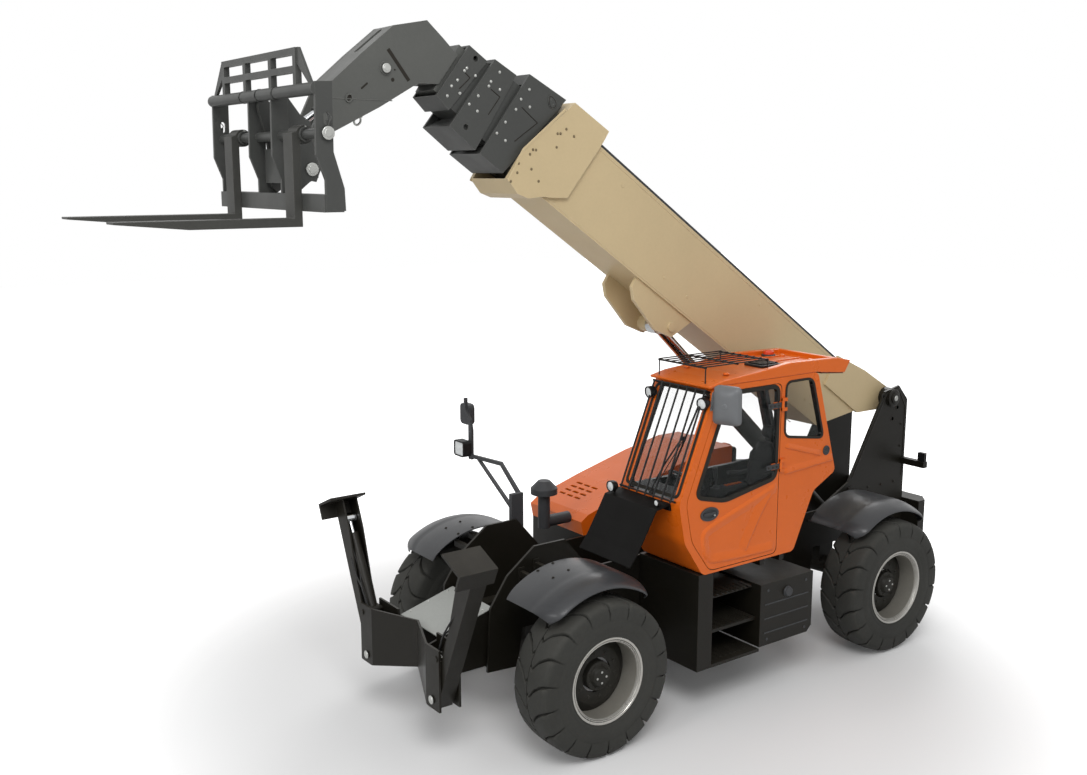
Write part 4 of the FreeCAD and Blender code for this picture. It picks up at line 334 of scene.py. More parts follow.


# Colour, gloss and the rest of each finish. The lighter colour given with an edge width is a painted highlight along
# sharp edges.
def make_materials():
    made = {
        "tyre_rubber": paint("tyre_rubber", "363633", 0.66, 0.16, grain=90.0, depth=0.0012, edge=0.006, edge_highlight="45443f",
                             dust=0.16, dust_colour="6b6860", spec=0.2),
        "wheel_silver": paint("wheel_silver", "b4b2ac", 0.30, 0.08, metal=0.55, edge=0.004, edge_highlight="dcdad6"),
        "wheel_barrel": paint("wheel_barrel", "8b8880", 0.42, 0.10, metal=0.25, dust=0.1, spec=0.3),
        "dark_iron": paint("dark_iron", "24231f", 0.5, 0.18, grain=60.0, depth=0.001, edge=0.006, edge_highlight="4a4741", spec=0.2),
        "frame_black": paint("frame_black", "191712", 0.42, 0.14, coat=0.04, edge=0.005, edge_highlight="3d3a34", dust=0.06,
                             spec=0.22),
        "deck_grey": paint("deck_grey", "9b9d99", 0.5, 0.08, edge=0.006, edge_highlight="c9c9c4"),
        "rod_chrome": paint("rod_chrome", "c9cbcd", 0.16, 0.03, metal=1.0, grain=500.0, depth=0.0001),
        "arm_tan": paint("arm_tan", "c8b48d", 0.4, 0.04, coat=0.06, edge=0.006, edge_highlight="dccfb2", spec=0.3),
        "arm_grey": paint("arm_grey", "454644", 0.42, 0.08, coat=0.05, edge=0.006, edge_highlight="6e6e6a", spec=0.25),
        "neck_grey": paint("neck_grey", "565754", 0.42, 0.08, coat=0.05, edge=0.006, edge_highlight="7c7c78", spec=0.25),
        "fork_steel": paint("fork_steel", "3e3e3b", 0.46, 0.12, edge=0.006, edge_highlight="6d6b68", spec=0.25),
        "cab_orange": paint("cab_orange", "d96414", 0.3, 0.04, coat=0.16, grain=120.0, depth=0.0002, spec=0.3),
        # Orange, and near-black on the faces that look into the cab.
        "cab_orange_dark_inside": paint("cab_orange_dark_inside", "d96414", 0.3, 0.04, coat=0.16, grain=120.0, depth=0.0002, spec=0.3,
                              inside=("1c1c1d", (-0.10 + MID_X, 0.81, 2.15))),
        "cowl_black": paint("cowl_black", "0e0d0c", 0.55, 0.14, edge=0.004, edge_highlight="1c1b18", spec=0.1),
        "window_glass": glass("window_glass", "3a403e", 0.12),
        "seat_black": paint("seat_black", "1b1b1c", 0.6, 0.1, grain=260.0, spec=0.25),
        "trim_black": paint("trim_black", "3a3b3d", 0.5, 0.1, edge=0.005, edge_highlight="5b5c5d", spec=0.3),
        "guard_black": paint("guard_black", "191919", 0.42, 0.1, spec=0.25),
        "lamp_glass": paint("lamp_glass", "c4c8c6", 0.1, 0.05, coat=0.6),
        "rubber_black": paint("rubber_black", "27241f", 0.6, 0.1, grain=300.0, spec=0.2),
        "bolt_zinc": paint("bolt_zinc", "b9bab6", 0.3, 0.08, metal=0.7),
        "lamp_lens": paint("lamp_lens", "d9dcdc", 0.08, 0.05, coat=0.8, grain=120.0, depth=0.0008),
        "beacon_red": paint("beacon_red", "d8431c", 0.15, 0.06, coat=0.6),
        "mirror_grey": paint("mirror_grey", "67696b", 0.38, 0.06, grain=420.0, edge=0.003, edge_highlight="8a8c8e"),
        "mirror_glass": paint("mirror_glass", "aeb4b6", 0.04, 0.02, metal=1.0, grain=30.0, depth=0.00002),
        # arm_bolt is darker than the arm's tan: painted shade for the shadows round the boom's bolts.
        "arm_bolt": paint("arm_bolt", "7d6f54", 0.45, 0.1, metal=0.2),
        "lens_red": paint("lens_red", "a81a12", 0.12, 0.06, coat=0.7),
        "fender_grey": paint("fender_grey", "38393b", 0.34, 0.08, coat=0.1, grain=380.0, edge=0.004, edge_highlight="5b5c5d", spec=0.35),
        "hose_black": paint("hose_black", "1b1b1b", 0.5, 0.1, grain=400.0, spec=0.3),
    }
    return made


# Nodes whose finish or edge differs from their slot's.
FINISH = {"cab_frame": "cab_orange_dark_inside", "cab_door": "cab_orange_dark_inside", "front_cowl": "cowl_black", "boom_head": "neck_grey"}
SOFT_EDGE = {"screen_guard": 0.001, "cab_roof": 0.010, "cab_frame": 0.007, "engine_hood": 0.008, "front_cowl": 0.006,
             "intake_stack": 0.005}


def dress(materials):
    """Gives every CAD node the finish of its slot, or its own from FINISH, and softens the sharp edges of all but the
    tyres, rims and glass.
    """
    for part in frame["record"]["subparts"]:
        node = frame["nodes"][part["node"]]
        node.data.materials.clear()
        node.data.materials.append(materials[FINISH.get(part["node"], part["material_slot"])])
        if part["node"].startswith(("tyre", "rim")) or "glass" in part["node"]:
            continue
        join = node.modifiers.new("join", "WELD")
        join.merge_threshold = 0.00005
        flat = node.modifiers.new("flat", "DECIMATE")
        flat.decimate_type = "DISSOLVE"
        flat.angle_limit = math.radians(0.5)
        cut = node.modifiers.new("edges", "BEVEL")
        cut.width = SOFT_EDGE.get(part["node"], 0.003)
        cut.segments = 2
        cut.limit_method = "ANGLE"
        cut.angle_limit = math.radians(32)
        level = node.modifiers.new("normals", "WEIGHTED_NORMAL")
        level.keep_sharp = True


# Shapes in mesh code

def at(x, y, z):
    """A point measured from the middle of the wheelbase."""
    return Vector((x + MID_X, y, z))


ARM_AT = at(-2.86, 0.0, 2.42)
ARM_ANGLE = math.radians(34.0)
ARM_AHEAD = Vector((math.cos(ARM_ANGLE), 0.0, math.sin(ARM_ANGLE)))
ARM_UP = Vector((-math.sin(ARM_ANGLE), 0.0, math.cos(ARM_ANGLE)))
SIDE = Vector((0.0, 1.0, 0.0))


def arm(along, across, up):
    """A point measured along the lift arm from its pivot, across it and up from its axis."""
    return ARM_AT + ARM_AHEAD * along + SIDE * across + ARM_UP * up


def frame_of(axis):
    ahead = Vector(axis).normalized()
    side = ahead.orthogonal().normalized()
    return ahead, side, ahead.cross(side)


def softened(points, radius, steps=5):
    """A flat closed outline with its corners rounded."""
    made = []
    count = len(points)
    for index, corner in enumerate(points):
        corner = Vector(corner)
        before = Vector(points[index - 1]) - corner
        after = Vector(points[(index + 1) % count]) - corner
        reach = min(radius, before.length * 0.45, after.length * 0.45)
        start = corner + before.normalized() * reach
        end = corner + after.normalized() * reach
        for step in range(steps + 1):
            t = step / steps
            made.append(start * (1 - t) ** 2 + corner * (2 * t * (1 - t)) + end * t ** 2)
    return made


def shifted(points, distance):
    """A closed outline in two numbers, moved in by a distance (out where it is negative)."""
    points = [Vector(point) for point in points]
    count = len(points)
    area = sum(points[k - 1].x * points[k].y - points[k].x * points[k - 1].y for k in range(count))
    turn = 1 if area > 0 else -1
    made = []
    for index, point in enumerate(points):
        before = (point - points[index - 1]).normalized()
        after = (points[(index + 1) % count] - point).normalized()
        normal = Vector((-(before.y + after.y), before.x + after.x)) * turn
        share = normal.normalized().dot(Vector((-after.y, after.x)) * turn)
        made.append(point + normal.normalized() * distance / max(share, 0.4))
    return made


class Form:
    """A mesh put together from outlines, turned profiles, tubes and bolts."""

    def __init__(self):
        self.points = []
        self.faces = []
        self.shades = []

    def add(self, points, faces, shade=0):
        start = len(self.points)
        self.points.extend(Vector(point) for point in points)
        for face in faces:
            self.faces.append([start + index for index in face])
            self.shades.append(shade)

    def slab(self, outline, run, shade=0):
        """A closed outline run out along a vector."""
        near = [Vector(point) for point in outline]
        count = len(near)
        far = [point + Vector(run) for point in near]
        walls = [(k, (k + 1) % count, count + (k + 1) % count, count + k) for k in range(count)]
        self.add(near + far, walls + [tuple(reversed(range(count))), tuple(range(count, 2 * count))], shade)

    def band(self, outer, inner, run, shade=0):
        """A closed strip between two outlines of as many points, run out along a vector."""
        count = len(outer)
        rings = [list(outer), list(inner), [p + Vector(run) for p in inner], [p + Vector(run) for p in outer]]
        faces = []
        for ring in range(4):
            for k in range(count):
                after, other = (k + 1) % count, ((ring + 1) % 4) * count
                faces.append((ring * count + k, ring * count + after, other + after, other + k))
        self.add([point for ring in rings for point in ring], faces, shade)

    def turned(self, centre, axis, profile, count=32, closed=False, shade=0, phase=0.0):
        """A profile of places along an axis and radii, turned about it."""
        ahead, side, other = frame_of(axis)
        points, faces = [], []
        for along, radius in profile:
            for k in range(count):
                angle = phase + 2 * math.pi * k / count
                points.append(Vector(centre) + ahead * along
                              + (side * math.cos(angle) + other * math.sin(angle)) * max(radius, 0.0001))
        rows = len(profile)
        for row in range(rows if closed else rows - 1):
            for k in range(count):
                after, up = (k + 1) % count, ((row + 1) % rows) * count
                faces.append((row * count + k, row * count + after, up + after, up + k))
        if not closed:
            faces += [tuple(reversed(range(count))), tuple(range((rows - 1) * count, rows * count))]
        self.add(points, faces, shade)

    def tube(self, path, radius, count=10, soft=True, shade=0):
        """A round tube along a smooth line through the points."""
        points = [Vector(point) for point in path]
        if soft and len(points) > 2:
            points = smooth_line(points)
        side = (points[1] - points[0]).orthogonal().normalized()
        rings, faces = [], []
        for index, point in enumerate(points):
            before, after = points[max(index - 1, 0)], points[min(index + 1, len(points) - 1)]
            ahead = (after - before).normalized()
            side = (side - ahead * side.dot(ahead)).normalized()
            other = ahead.cross(side)
            for k in range(count):
                angle = 2 * math.pi * k / count
                rings.append(point + (side * math.cos(angle) + other * math.sin(angle)) * radius)
        for row in range(len(points) - 1):
            for k in range(count):
                after, base = (k + 1) % count, row * count
                faces.append((base + k, base + after, base + count + after, base + count + k))
        last = (len(points) - 1) * count
        faces += [tuple(reversed(range(count))), tuple(range(last, last + count))]
        self.add(rings, faces, shade)

    def bolt(self, centre, axis, size, shade=0):
        """A hexagon head on a washer; size is the head's half width."""
        ahead = Vector(axis).normalized()
        self.turned(centre, ahead, [(0, size * 1.45), (size * 0.22, size * 1.45), (size * 0.3, size * 1.3)], 14, shade=shade)
        head = Vector(centre) + ahead * size * 0.28
        self.turned(head, ahead, [(0, size), (size * 0.62, size), (size * 0.78, size * 0.8)], 6, shade=shade)

    def pin(self, centre, axis, radius, rise, shade=0):
        """A pin's end: a plate with a step and a soft edge."""
        profile = [(0, radius), (rise * 0.5, radius), (rise * 0.7, radius * 0.92), (rise * 0.7, radius * 0.62)]
        profile += [(rise, radius * 0.58), (rise, radius * 0.1)]
        self.turned(centre, axis, profile, 28, shade=shade)


def smooth_line(points, steps=6):
    made = []
    last = len(points) - 1
    for index in range(last):
        a, b = points[max(index - 1, 0)], points[index]
        c, d = points[index + 1], points[min(index + 2, last)]
        for step in range(steps):
            t = step / steps
            made.append(0.5 * (2 * b + (c - a) * t + (2 * a - 5 * b + 4 * c - d) * t * t
                               + (3 * b - a - 3 * c + d) * t ** 3))
    return made + [points[-1]]


def piece(name, form, materials, body, bevel=0.0, segments=2, angle=32.0):
    """A mesh object from a form; it rides on a body."""
    mesh = bpy.data.meshes.new(name)
    mesh.from_pydata(form.points, [], form.faces)
    for material in materials:
        mesh.materials.append(MATERIALS[material])
    mesh.polygons.foreach_set("material_index", form.shades)
    shape = bmesh.new()
    shape.from_mesh(mesh)
    bmesh.ops.recalc_face_normals(shape, faces=shape.faces)
    shape.to_mesh(mesh)
    shape.free()
    thing = bpy.data.objects.new(name, mesh)
    bpy.context.scene.collection.objects.link(thing)
    finish_edges(thing, bevel, segments, angle)
    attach(thing, body)
    return thing


def finish_edges(thing, bevel, segments=2, angle=32.0):
    mesh = thing.data
    mesh.shade_smooth()
    if bevel:
        cut = thing.modifiers.new("edges", "BEVEL")
        cut.width = bevel
        cut.segments = segments
        cut.limit_method = "ANGLE"
        cut.angle_limit = math.radians(angle)
        cut.harden_normals = False
        level = thing.modifiers.new("normals", "WEIGHTED_NORMAL")
        level.keep_sharp = True
    else:
        mesh.set_sharp_from_angle(angle=math.radians(angle))


# Tyres and rims

LUGS = 18
# Half the tread's groove line: distance from the tyre's middle, and its shift in lug pitches.
GROOVE = ((0.004, 0.50), (0.030, 0.62), (0.055, 0.46), (0.085, 0.30), (0.120, 0.20), (0.160, 0.08), (0.195, 0.02),
          (0.216, 0.0), (0.226, 0.0), (0.229, 0.0), (0.2265, 0.0))
LUG_TOP = (0.6868, 0.6866, 0.6862, 0.6855, 0.6840, 0.6800, 0.6720, 0.6560, 0.6220, 0.5760, 0.5320)
LUG_DEEP = (0.034, 0.034, 0.034, 0.034, 0.034, 0.034, 0.032, 0.028, 0.018, 0.007, 0.003)
CARCASS = ((0.0, 0.652), (0.110, 0.650), (0.165, 0.641), (0.200, 0.622), (0.214, 0.596), (0.2215, 0.566),
           (0.2245, 0.535), (0.2290, 0.500), (0.2285, 0.470), (0.2230, 0.440), (0.2190, 0.420), (0.2205, 0.414),
           (0.2190, 0.408), (0.2155, 0.398), (0.2140, 0.386), (0.2165, 0.3795))


def tyre_form():
    """A carcass with two rows of broad lugs whose grooves step towards the middle."""
    form = Form()
    profile = [(y, r) for y, r in CARCASS] + [(0.205, 0.3775), (-0.205, 0.3775)]
    profile += [(-y, r) for y, r in reversed(CARCASS[1:])]
    form.turned((0, 0, 0), (0, 1, 0), profile, 108, closed=True)
    pitch = 2 * math.pi / LUGS
    gap = 0.026
    for hand, offset in ((1, 0.0), (-1, 0.5)):
        for lug in range(LUGS):
            rows = []
            for (y, shift), top, deep in zip(GROOVE, LUG_TOP, LUG_DEEP):
                near = (lug + offset + shift) * pitch + gap / 2 / top
                far = near + pitch - gap / top
                row = []
                for share, drop in ((-0.035, 1.0), (0.0, 0.16), (0.03, 0.0), (0.25, 0.0), (0.5, 0.0), (0.75, 0.0),
                                    (0.97, 0.0), (1.0, 0.16), (1.035, 1.0)):
                    angle = near + (far - near) * share
                    radius = top - deep * drop - (0.004 if drop == 1.0 else 0)
                    row.append((radius * math.sin(angle), hand * y, radius * math.cos(angle)))
                rows.append(row)
            inner = [(x * 0.945, y, z * 0.945) for x, y, z in rows[0]]
            rows.insert(0, inner)
            width = len(rows[0])
            points = [point for row in rows for point in row]
            faces = []
            for a in range(len(rows) - 1):
                for b in range(width - 1):
                    faces.append((a * width + b, a * width + b + 1, (a + 1) * width + b + 1, (a + 1) * width + b))
            form.add(points, faces)
    return form


def make_tyres():
    form = tyre_form()
    for place in ("front_l", "front_r", "rear_l", "rear_r"):
        low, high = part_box(f"tyre_{place}")
        middle = (low + high) / 2
        one = Form()
        hand = 1 if middle.y > 0 else -1
        turned = [Vector((hand * x, hand * y, z)) for x, y, z in form.points]
        one.add([point + middle for point in turned], form.faces)
        tyre = piece(f"tread_{place}", one, ["tyre_rubber"], f"wheel_{place}", angle=38)
        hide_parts(f"tyre_{place}")


# Rim: place outwards from the wheel's middle and radius; shade 0 bright, 1 grey, 2 dark.
RIM_RINGS = (
    (0, ((0.150, 0.358), (0.2120, 0.359), (0.2160, 0.3625), (0.2168, 0.3775), (0.2120, 0.3795), (0.206, 0.379), (0.190, 0.366))),
    (2, ((0.150, 0.350), (0.2050, 0.350), (0.2050, 0.360), (0.150, 0.360))),
    (0, ((0.150, 0.3455), (0.2085, 0.3455), (0.2125, 0.3480), (0.2125, 0.3520), (0.2085, 0.3540), (0.150, 0.3540))),
    (2, ((0.150, 0.3390), (0.1980, 0.3390), (0.1980, 0.3470), (0.150, 0.3470))),
    (0, ((0.100, 0.3340), (0.1960, 0.3340), (0.2020, 0.3365), (0.2020, 0.3410), (0.1960, 0.3425), (0.100, 0.3430))),
    (1, ((-0.210, 0.3400), (0.1860, 0.3320), (0.1860, 0.3475), (-0.210, 0.3520))),
    (0, ((-0.2165, 0.354), (-0.2168, 0.3775), (-0.206, 0.379), (-0.150, 0.352))),
)
DISC = ((-0.008, 0.342), (0.006, 0.330), (0.040, 0.272), (0.054, 0.250), (0.054, 0.152), (0.036, 0.150),
        (0.034, 0.250), (-0.012, 0.326), (-0.024, 0.342))
HUB = ((-0.060, 0.128), (0.070, 0.132), (0.086, 0.128), (0.092, 0.120), (0.092, 0.096), (0.097, 0.090),
       (0.118, 0.084), (0.128, 0.074), (0.131, 0.062), (0.1315, 0.02))


def make_rims():
    for place in ("front_l", "front_r", "rear_l", "rear_r"):
        low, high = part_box(f"rim_{place}")
        middle = (low + high) / 2
        out = Vector((0, 1 if middle.y > 0 else -1, 0))
        body = f"wheel_{place}"
        form = Form()
        for shade, ring in RIM_RINGS:
            form.turned(middle, out, ring, 96, closed=True, shade=shade)
        form.turned(middle, out, DISC, 96, closed=True, shade=2)
        ahead, side, other = frame_of(out)
        for k in range(10):
            angle = 2 * math.pi * k / 10
            round_ = side * math.cos(angle) + other * math.sin(angle)
            form.bolt(middle + out * 0.054 + round_ * 0.200, out, 0.0125, 2)
        valve = middle + out * 0.175 + side * 0.325
        form.tube([valve, valve + out * 0.02 - side * 0.006, valve + out * 0.034 - side * 0.018], 0.006, 8, shade=2)
        rim = piece(f"rim_rings_{place}", form, ["wheel_silver", "wheel_barrel", "dark_iron"], body, angle=40)
        hub = Form()
        hub.turned(middle, out, HUB, 64)
        for k in range(8):
            angle = 2 * math.pi * (k + 0.5) / 8
            round_ = side * math.cos(angle) + other * math.sin(angle)
            hub.bolt(middle + out * 0.091 + round_ * 0.109, out, 0.009)
        for k in range(4):
            angle = 2 * math.pi * (k + 0.5) / 4
            round_ = side * math.cos(angle) + other * math.sin(angle)
            hub.bolt(middle + out * 0.1305 + round_ * 0.048, out, 0.007, 1)
        hub_piece = piece(f"rim_hub_{place}", hub, ["dark_iron", "bolt_zinc"], body, angle=38)
        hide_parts(f"rim_{place}")
        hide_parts(f"rim_{place}")


# Cab

CAB_Y = 1.2
DOOR_WINDOW = ((0.857, 2.085), (0.498, 2.960), (-0.130, 2.960), (-0.130, 2.114), (0.509, 2.002))
QUARTER_WINDOW = ((-0.235, 2.990), (-0.594, 2.990), (-0.774, 2.400), (-0.235, 2.479))


def wall(outline, y):
    return [at(x, y, z) for x, z in outline]


def seal(form, points, soft, grow, shrink, y, thick, shade=0):
    """A rubber band that covers a window's edge on a wall; thick is how far it stands out."""
    line = softened([(x, z) for x, z in points], soft, 6)
    form.band(wall(shifted(line, -grow), y), wall(shifted(line, shrink), y), (0, thick, 0), shade)


def make_cab_seals():
    form = Form()
    seal(form, DOOR_WINDOW, 0.075, 0.026, 0.012, CAB_Y - 0.001, 0.007)
    seal(form, DOOR_WINDOW, 0.075, 0.010, 0.014, CAB_Y + 0.004, 0.004)
    piece("door_window_seal", form, ["rubber_black"], "door", 0.0015)
    form = Form()
    seal(form, QUARTER_WINDOW, 0.075, 0.012, 0.012, CAB_Y - 0.001, 0.006)
    piece("quarter_window_seal", form, ["rubber_black"], "chassis", 0.0015)


DOOR_LINE = ((0.672, 1.385), (0.846, 1.500), (0.958, 1.760), (0.9905, 2.052), (0.894, 2.350), (0.742, 2.972), (0.60, 2.981),
             (-0.172, 2.981), (-0.172, 1.385))


def make_door_trim():
    """The door's handle and the hinge straps."""
    y = CAB_Y
    form = Form()
    oval = [(0.700 + 0.108 * math.cos(a), 1.906 + 0.062 * math.sin(a)) for a in (2 * math.pi * k / 40 for k in range(40))]
    cup = [(0.700 + 0.084 * math.cos(a), 1.906 + 0.040 * math.sin(a)) for a in (2 * math.pi * k / 40 for k in range(40))]
    form.band(wall(oval, y - 0.001), wall(cup, y - 0.001), (0, 0.012, 0))
    form.slab(wall(shifted(cup, -0.002), y - 0.0005), (0, 0.002, 0))
    grip = softened([(0.628, 1.896), (0.772, 1.896), (0.772, 1.918), (0.628, 1.918)], 0.01, 4)
    form.slab(wall(grip, y + 0.001), (0, 0.014, 0))
    form.turned(at(0.640, y + 0.0005, 1.888), (0, 1, 0), [(0, 0.009), (0.012, 0.009), (0.0125, 0.004)], 18, shade=1)
    piece("door_handle", form, ["trim_black", "bolt_zinc"], "door", 0.0025, 3)

    for name, z in (("low", 2.216), ("high", 2.789)):
        leaf = Form()
        strap = softened([(-0.160, z - 0.026), (0.006, z - 0.022), (0.006, z + 0.022), (-0.160, z + 0.026)], 0.012, 4)
        leaf.slab(wall(strap, y + 0.0075), (0, 0.010, 0))
        for x in (-0.125, -0.075, -0.020):
            leaf.bolt(at(x, y + 0.0165, z), (0, 1, 0), 0.0075, 1)
        piece(f"door_strap_{name}", leaf, ["trim_black", "dark_iron"], "door", 0.002)


def make_cab_trim():
    y = CAB_Y
    form = Form()
    vent = at(-0.820, y - 0.001, 2.270)
    form.turned(vent, (0, 1, 0), [(0, 0.046), (0.008, 0.046), (0.012, 0.040), (0.006, 0.036), (0.006, 0.010)], 36)
    for k in range(8):
        a = 2 * math.pi * k / 8
        ray = Vector((math.cos(a), 0, math.sin(a)))
        form.tube([vent + ray * 0.010 + SIDE * 0.0075, vent + ray * 0.037 + SIDE * 0.0075], 0.0025, 6, soft=False)
    piece("cab_vent", form, ["trim_black"], "chassis", 0.0)


# Lift arm, goose neck and fork carriage

# Bolts on one side of each collar: along the arm and up from its axis.
COLLAR_BOLTS = (
    # The boom's bolts take arm_bolt, which is darker than the arm's tan as painted shade round them.
    ("boom", 0.285, "arm_bolt", ((5.271, -0.164), (5.326, -0.248), (5.301, -0.230), (5.170, -0.167), (5.272, -0.348),
                                (5.462, -0.503), (5.435, -0.488), (5.467, -0.552), (5.520, -0.679), (5.490, -0.750),
                                (5.387, -0.645), (5.270, -0.687), (5.505, -0.845))),
    ("section_2", 0.237, "bolt_zinc", ((5.737, -0.098), (5.762, -0.213), (5.655, -0.213), (5.758, -0.311),
                                       (5.787, -0.457), (5.807, -0.580), (5.705, -0.581))),
    ("section_3", 0.213, "bolt_zinc", ((6.040, -0.149), (6.068, -0.262), (6.065, -0.304), (5.963, -0.263),
                                       (6.105, -0.429), (6.140, -0.534), (6.046, -0.534))),
    ("section_4", 0.189, "bolt_zinc", ((6.300, -0.302), (6.307, -0.332), (6.202, -0.302), (6.320, -0.432),
                                       (6.340, -0.504), (6.330, -0.591), (6.245, -0.505))),
)
# Pressed lines on the collars' sides, drawn as thin near-black tubes: painted shade of the creases.
PRESSED = (
    ("section_2", 0.237, ((5.719, -0.263), (5.520, -0.276), (5.627, -0.534))),
    ("section_3", 0.213, ((6.035, -0.312), (5.930, -0.313), (5.945, -0.496))),
    ("section_4", 0.189, ((6.292, -0.342), (6.235, -0.348), (6.270, -0.480))),
)


def make_collars():
    for body, half, shade, places in COLLAR_BOLTS:
        form = Form()
        for hand in (LEFT, RIGHT):
            for along, up in places:
                form.bolt(arm(along, hand * (half - 0.0005), up), (0, hand, 0), 0.0085)
        piece(f"{body}_bolts", form, [shade], body, angle=40)
    for body, half, line in PRESSED:
        form = Form()
        for hand in (LEFT, RIGHT):
            corner = [arm(a, hand * half, u) for a, u in line]
            path = [corner[0], corner[0].lerp(corner[1], 0.5), corner[0].lerp(corner[1], 0.96),
                    corner[1].lerp(corner[2], 0.04), corner[1].lerp(corner[2], 0.5), corner[2]]
            # The rubber_black tubes are painted shade in the pressed lines.
            form.tube(path, 0.0042, 8)
        piece(f"{body}_pressed", form, ["rubber_black"], body, angle=40)
    form = Form()
    for hand in (LEFT, RIGHT):
        egg = []
        for k in range(32):
            angle = 2 * math.pi * k / 32
            wide = 0.040 - 0.012 * math.cos(angle)
            egg.append((5.495 + 0.058 * math.cos(angle) * 0.87 + wide * math.sin(angle) * 0.5,
                        -0.045 + 0.058 * math.cos(angle) * 0.5 - wide * math.sin(angle) * 0.87))
        run = (0, hand * 0.007, 0)
        form.slab([arm(a, hand * 0.2365, u) for a, u in egg], run)
        form.band([arm(a, hand * 0.243, u) for a, u in shifted(egg, 0.006)],
                  [arm(a, hand * 0.243, u) for a, u in shifted(egg, 0.011)], (0, hand * 0.003, 0), 1)
        form.bolt(arm(5.513, hand * 0.243, -0.035), (0, hand, 0), 0.006)
        form.bolt(arm(5.470, hand * 0.243, -0.058), (0, hand, 0), 0.006)
    piece("collar_cover", form, ["arm_grey", "rubber_black"], "section_2", 0.0015)


def strip(form, line, half, hand, width, thick, shade=0):
    """A narrow plate along a line on the arm's side."""
    for (a, b), (c, d) in zip(line, line[1:]):
        ahead = Vector((c - a, d - b)).normalized()
        across = Vector((-ahead.y, ahead.x)) * width / 2
        corners = [(a + across.x, b + across.y), (c + across.x, d + across.y), (c - across.x, d - across.y),
                   (a - across.x, b - across.y)]
        form.slab([arm(u, hand * half, v) for u, v in corners], (0, hand * thick, 0), shade)


def make_arm_details():
    form = Form()
    for hand in (LEFT, RIGHT):
        strip(form, ((0.30, -0.078), (4.92, -0.078)), 0.2445, hand, 0.010, 0.004)
        strip(form, ((0.62, -0.742), (5.10, -0.742)), 0.2445, hand, 0.010, 0.004)
        strip(form, ((5.370, -0.035), (5.545, -0.560), (5.528, -0.860)), 0.2845, hand, 0.022, 0.006)
        for along, up in ((1.00, -0.62), (1.10, -0.62), (2.30, -0.16), (3.20, -0.60), (3.55, -0.60), (4.45, -0.19)):
            form.turned(arm(along, hand * 0.2448, up), (0, hand, 0),
                        [(0, 0.017), (0.004, 0.017), (0.0055, 0.013), (0.0055, 0.002)], 24, shade=1)
    piece("arm_welds", form, ["arm_tan", "arm_tan"], "boom", 0.0015)

    form = Form()
    for hand in (LEFT, RIGHT):
        form.pin(arm(0.0, hand * 0.262, 0.0), (0, hand, 0), 0.066, 0.012)
        keeper = softened([(-0.030, 0.075), (0.030, 0.075), (0.030, 0.105), (-0.030, 0.105)], 0.008, 3)
        form.slab([arm(a, hand * 0.262, u) for a, u in keeper], (0, hand * 0.010, 0))
        form.bolt(arm(0.0, hand * 0.272, 0.090), (0, hand, 0), 0.008, 1)
    piece("arm_pivot_pins", form, ["arm_tan", "bolt_zinc"], "boom", 0.0015)

    track = Form()
    for hand in (LEFT, RIGHT):
        rail = [arm(0.53, hand * 0.074, -0.049), arm(4.84, hand * 0.074, -0.049), arm(4.84, hand * 0.074, 0.040),
                arm(4.78, hand * 0.074, 0.052), arm(0.60, hand * 0.074, 0.052), arm(0.53, hand * 0.074, 0.040)]
        track.slab(rail, (0, hand * 0.005, 0))
    for k in range(44):
        place = 0.60 + 0.095 * k
        track.slab([arm(place, -0.073, 0.040), arm(place + 0.050, -0.073, 0.040), arm(place + 0.050, 0.073, 0.040),
                    arm(place, 0.073, 0.040)], ARM_UP * 0.007)
    for y in (-0.048, -0.016, 0.016, 0.048):
        track.tube([arm(0.50, y, 0.018), arm(2.60, y, 0.020), arm(4.88, y, 0.018)], 0.014, 10, shade=1)
    piece("hose_track", track, ["trim_black", "hose_black"], "boom", 0.0015, 1)


def make_neck_details():
    form = Form()
    half = 0.160
    for hand in (LEFT, RIGHT):
        out = (0, hand, 0)
        strip(form, ((6.938, -0.600), (6.662, -0.690)), half, hand, 0.030, 0.0015, 1)
        form.pin(arm(6.882, hand * (half + 0.026), -0.737), out, 0.036, 0.010, 2)
        # The flat near-black discs, the slit and the disc inside the ring are painted shade standing in for holes.
        form.turned(arm(6.781, hand * (half - 0.001), -0.769), out, [(0, 0.016), (0.0025, 0.015), (0.0025, 0.004)], 24, shade=1)
        form.turned(arm(6.807, hand * (half - 0.001), -0.695), out, [(0, 0.008), (0.0025, 0.007), (0.0025, 0.002)], 16, shade=1)
        slit = softened([(6.972, -0.985), (6.950, -0.915), (6.936, -0.920), (6.958, -0.990)], 0.006, 3)
        form.slab([arm(a, hand * (half - 0.001), u) for a, u in slit], (0, hand * 0.0025, 0), 1)
        ring = [(7.012 + 0.030 * math.cos(2 * math.pi * k / 28), -1.106 + 0.036 * math.sin(2 * math.pi * k / 28)) for k in range(28)]
        form.band([arm(a, hand * (half - 0.001), u) for a, u in ring],
                  [arm(a, hand * (half - 0.001), u) for a, u in shifted(ring, 0.011)], (0, hand * 0.012, 0), 0)
        form.slab([arm(a, hand * (half - 0.001), u) for a, u in shifted(ring, 0.010)], (0, hand * 0.002, 0), 1)
        strip(form, ((7.165, -1.215), (6.700, -0.905)), half, hand, 0.008, 0.003)
    piece("neck_fittings", form, ["neck_grey", "rubber_black", "bolt_zinc"], "head", 0.0012)

    eye = Form()
    base = arm(6.800, 0.0, -1.105)
    ahead, side, other = ARM_AHEAD, SIDE, ARM_UP
    loop = [base + (ahead * math.cos(a) * 0.026 + other * (math.sin(a) * 0.034 - 0.050)) for a in
            (math.radians(100 + 340 * k / 18) for k in range(19))]
    eye.tube(loop, 0.0085, 10)
    eye.tube([base + side * 0.030 - other * 0.012, base - side * 0.030 - other * 0.012], 0.010, 12, soft=False)
    piece("lifting_eye", eye, ["bolt_zinc"], "head", 0.0)


CARRIAGE_AT = arm(6.997, 0.0, -1.737)


def fork_point(x, y, z):
    """A point measured from the coupler's pin, level with the ground."""
    return CARRIAGE_AT + Vector((x, y, z))


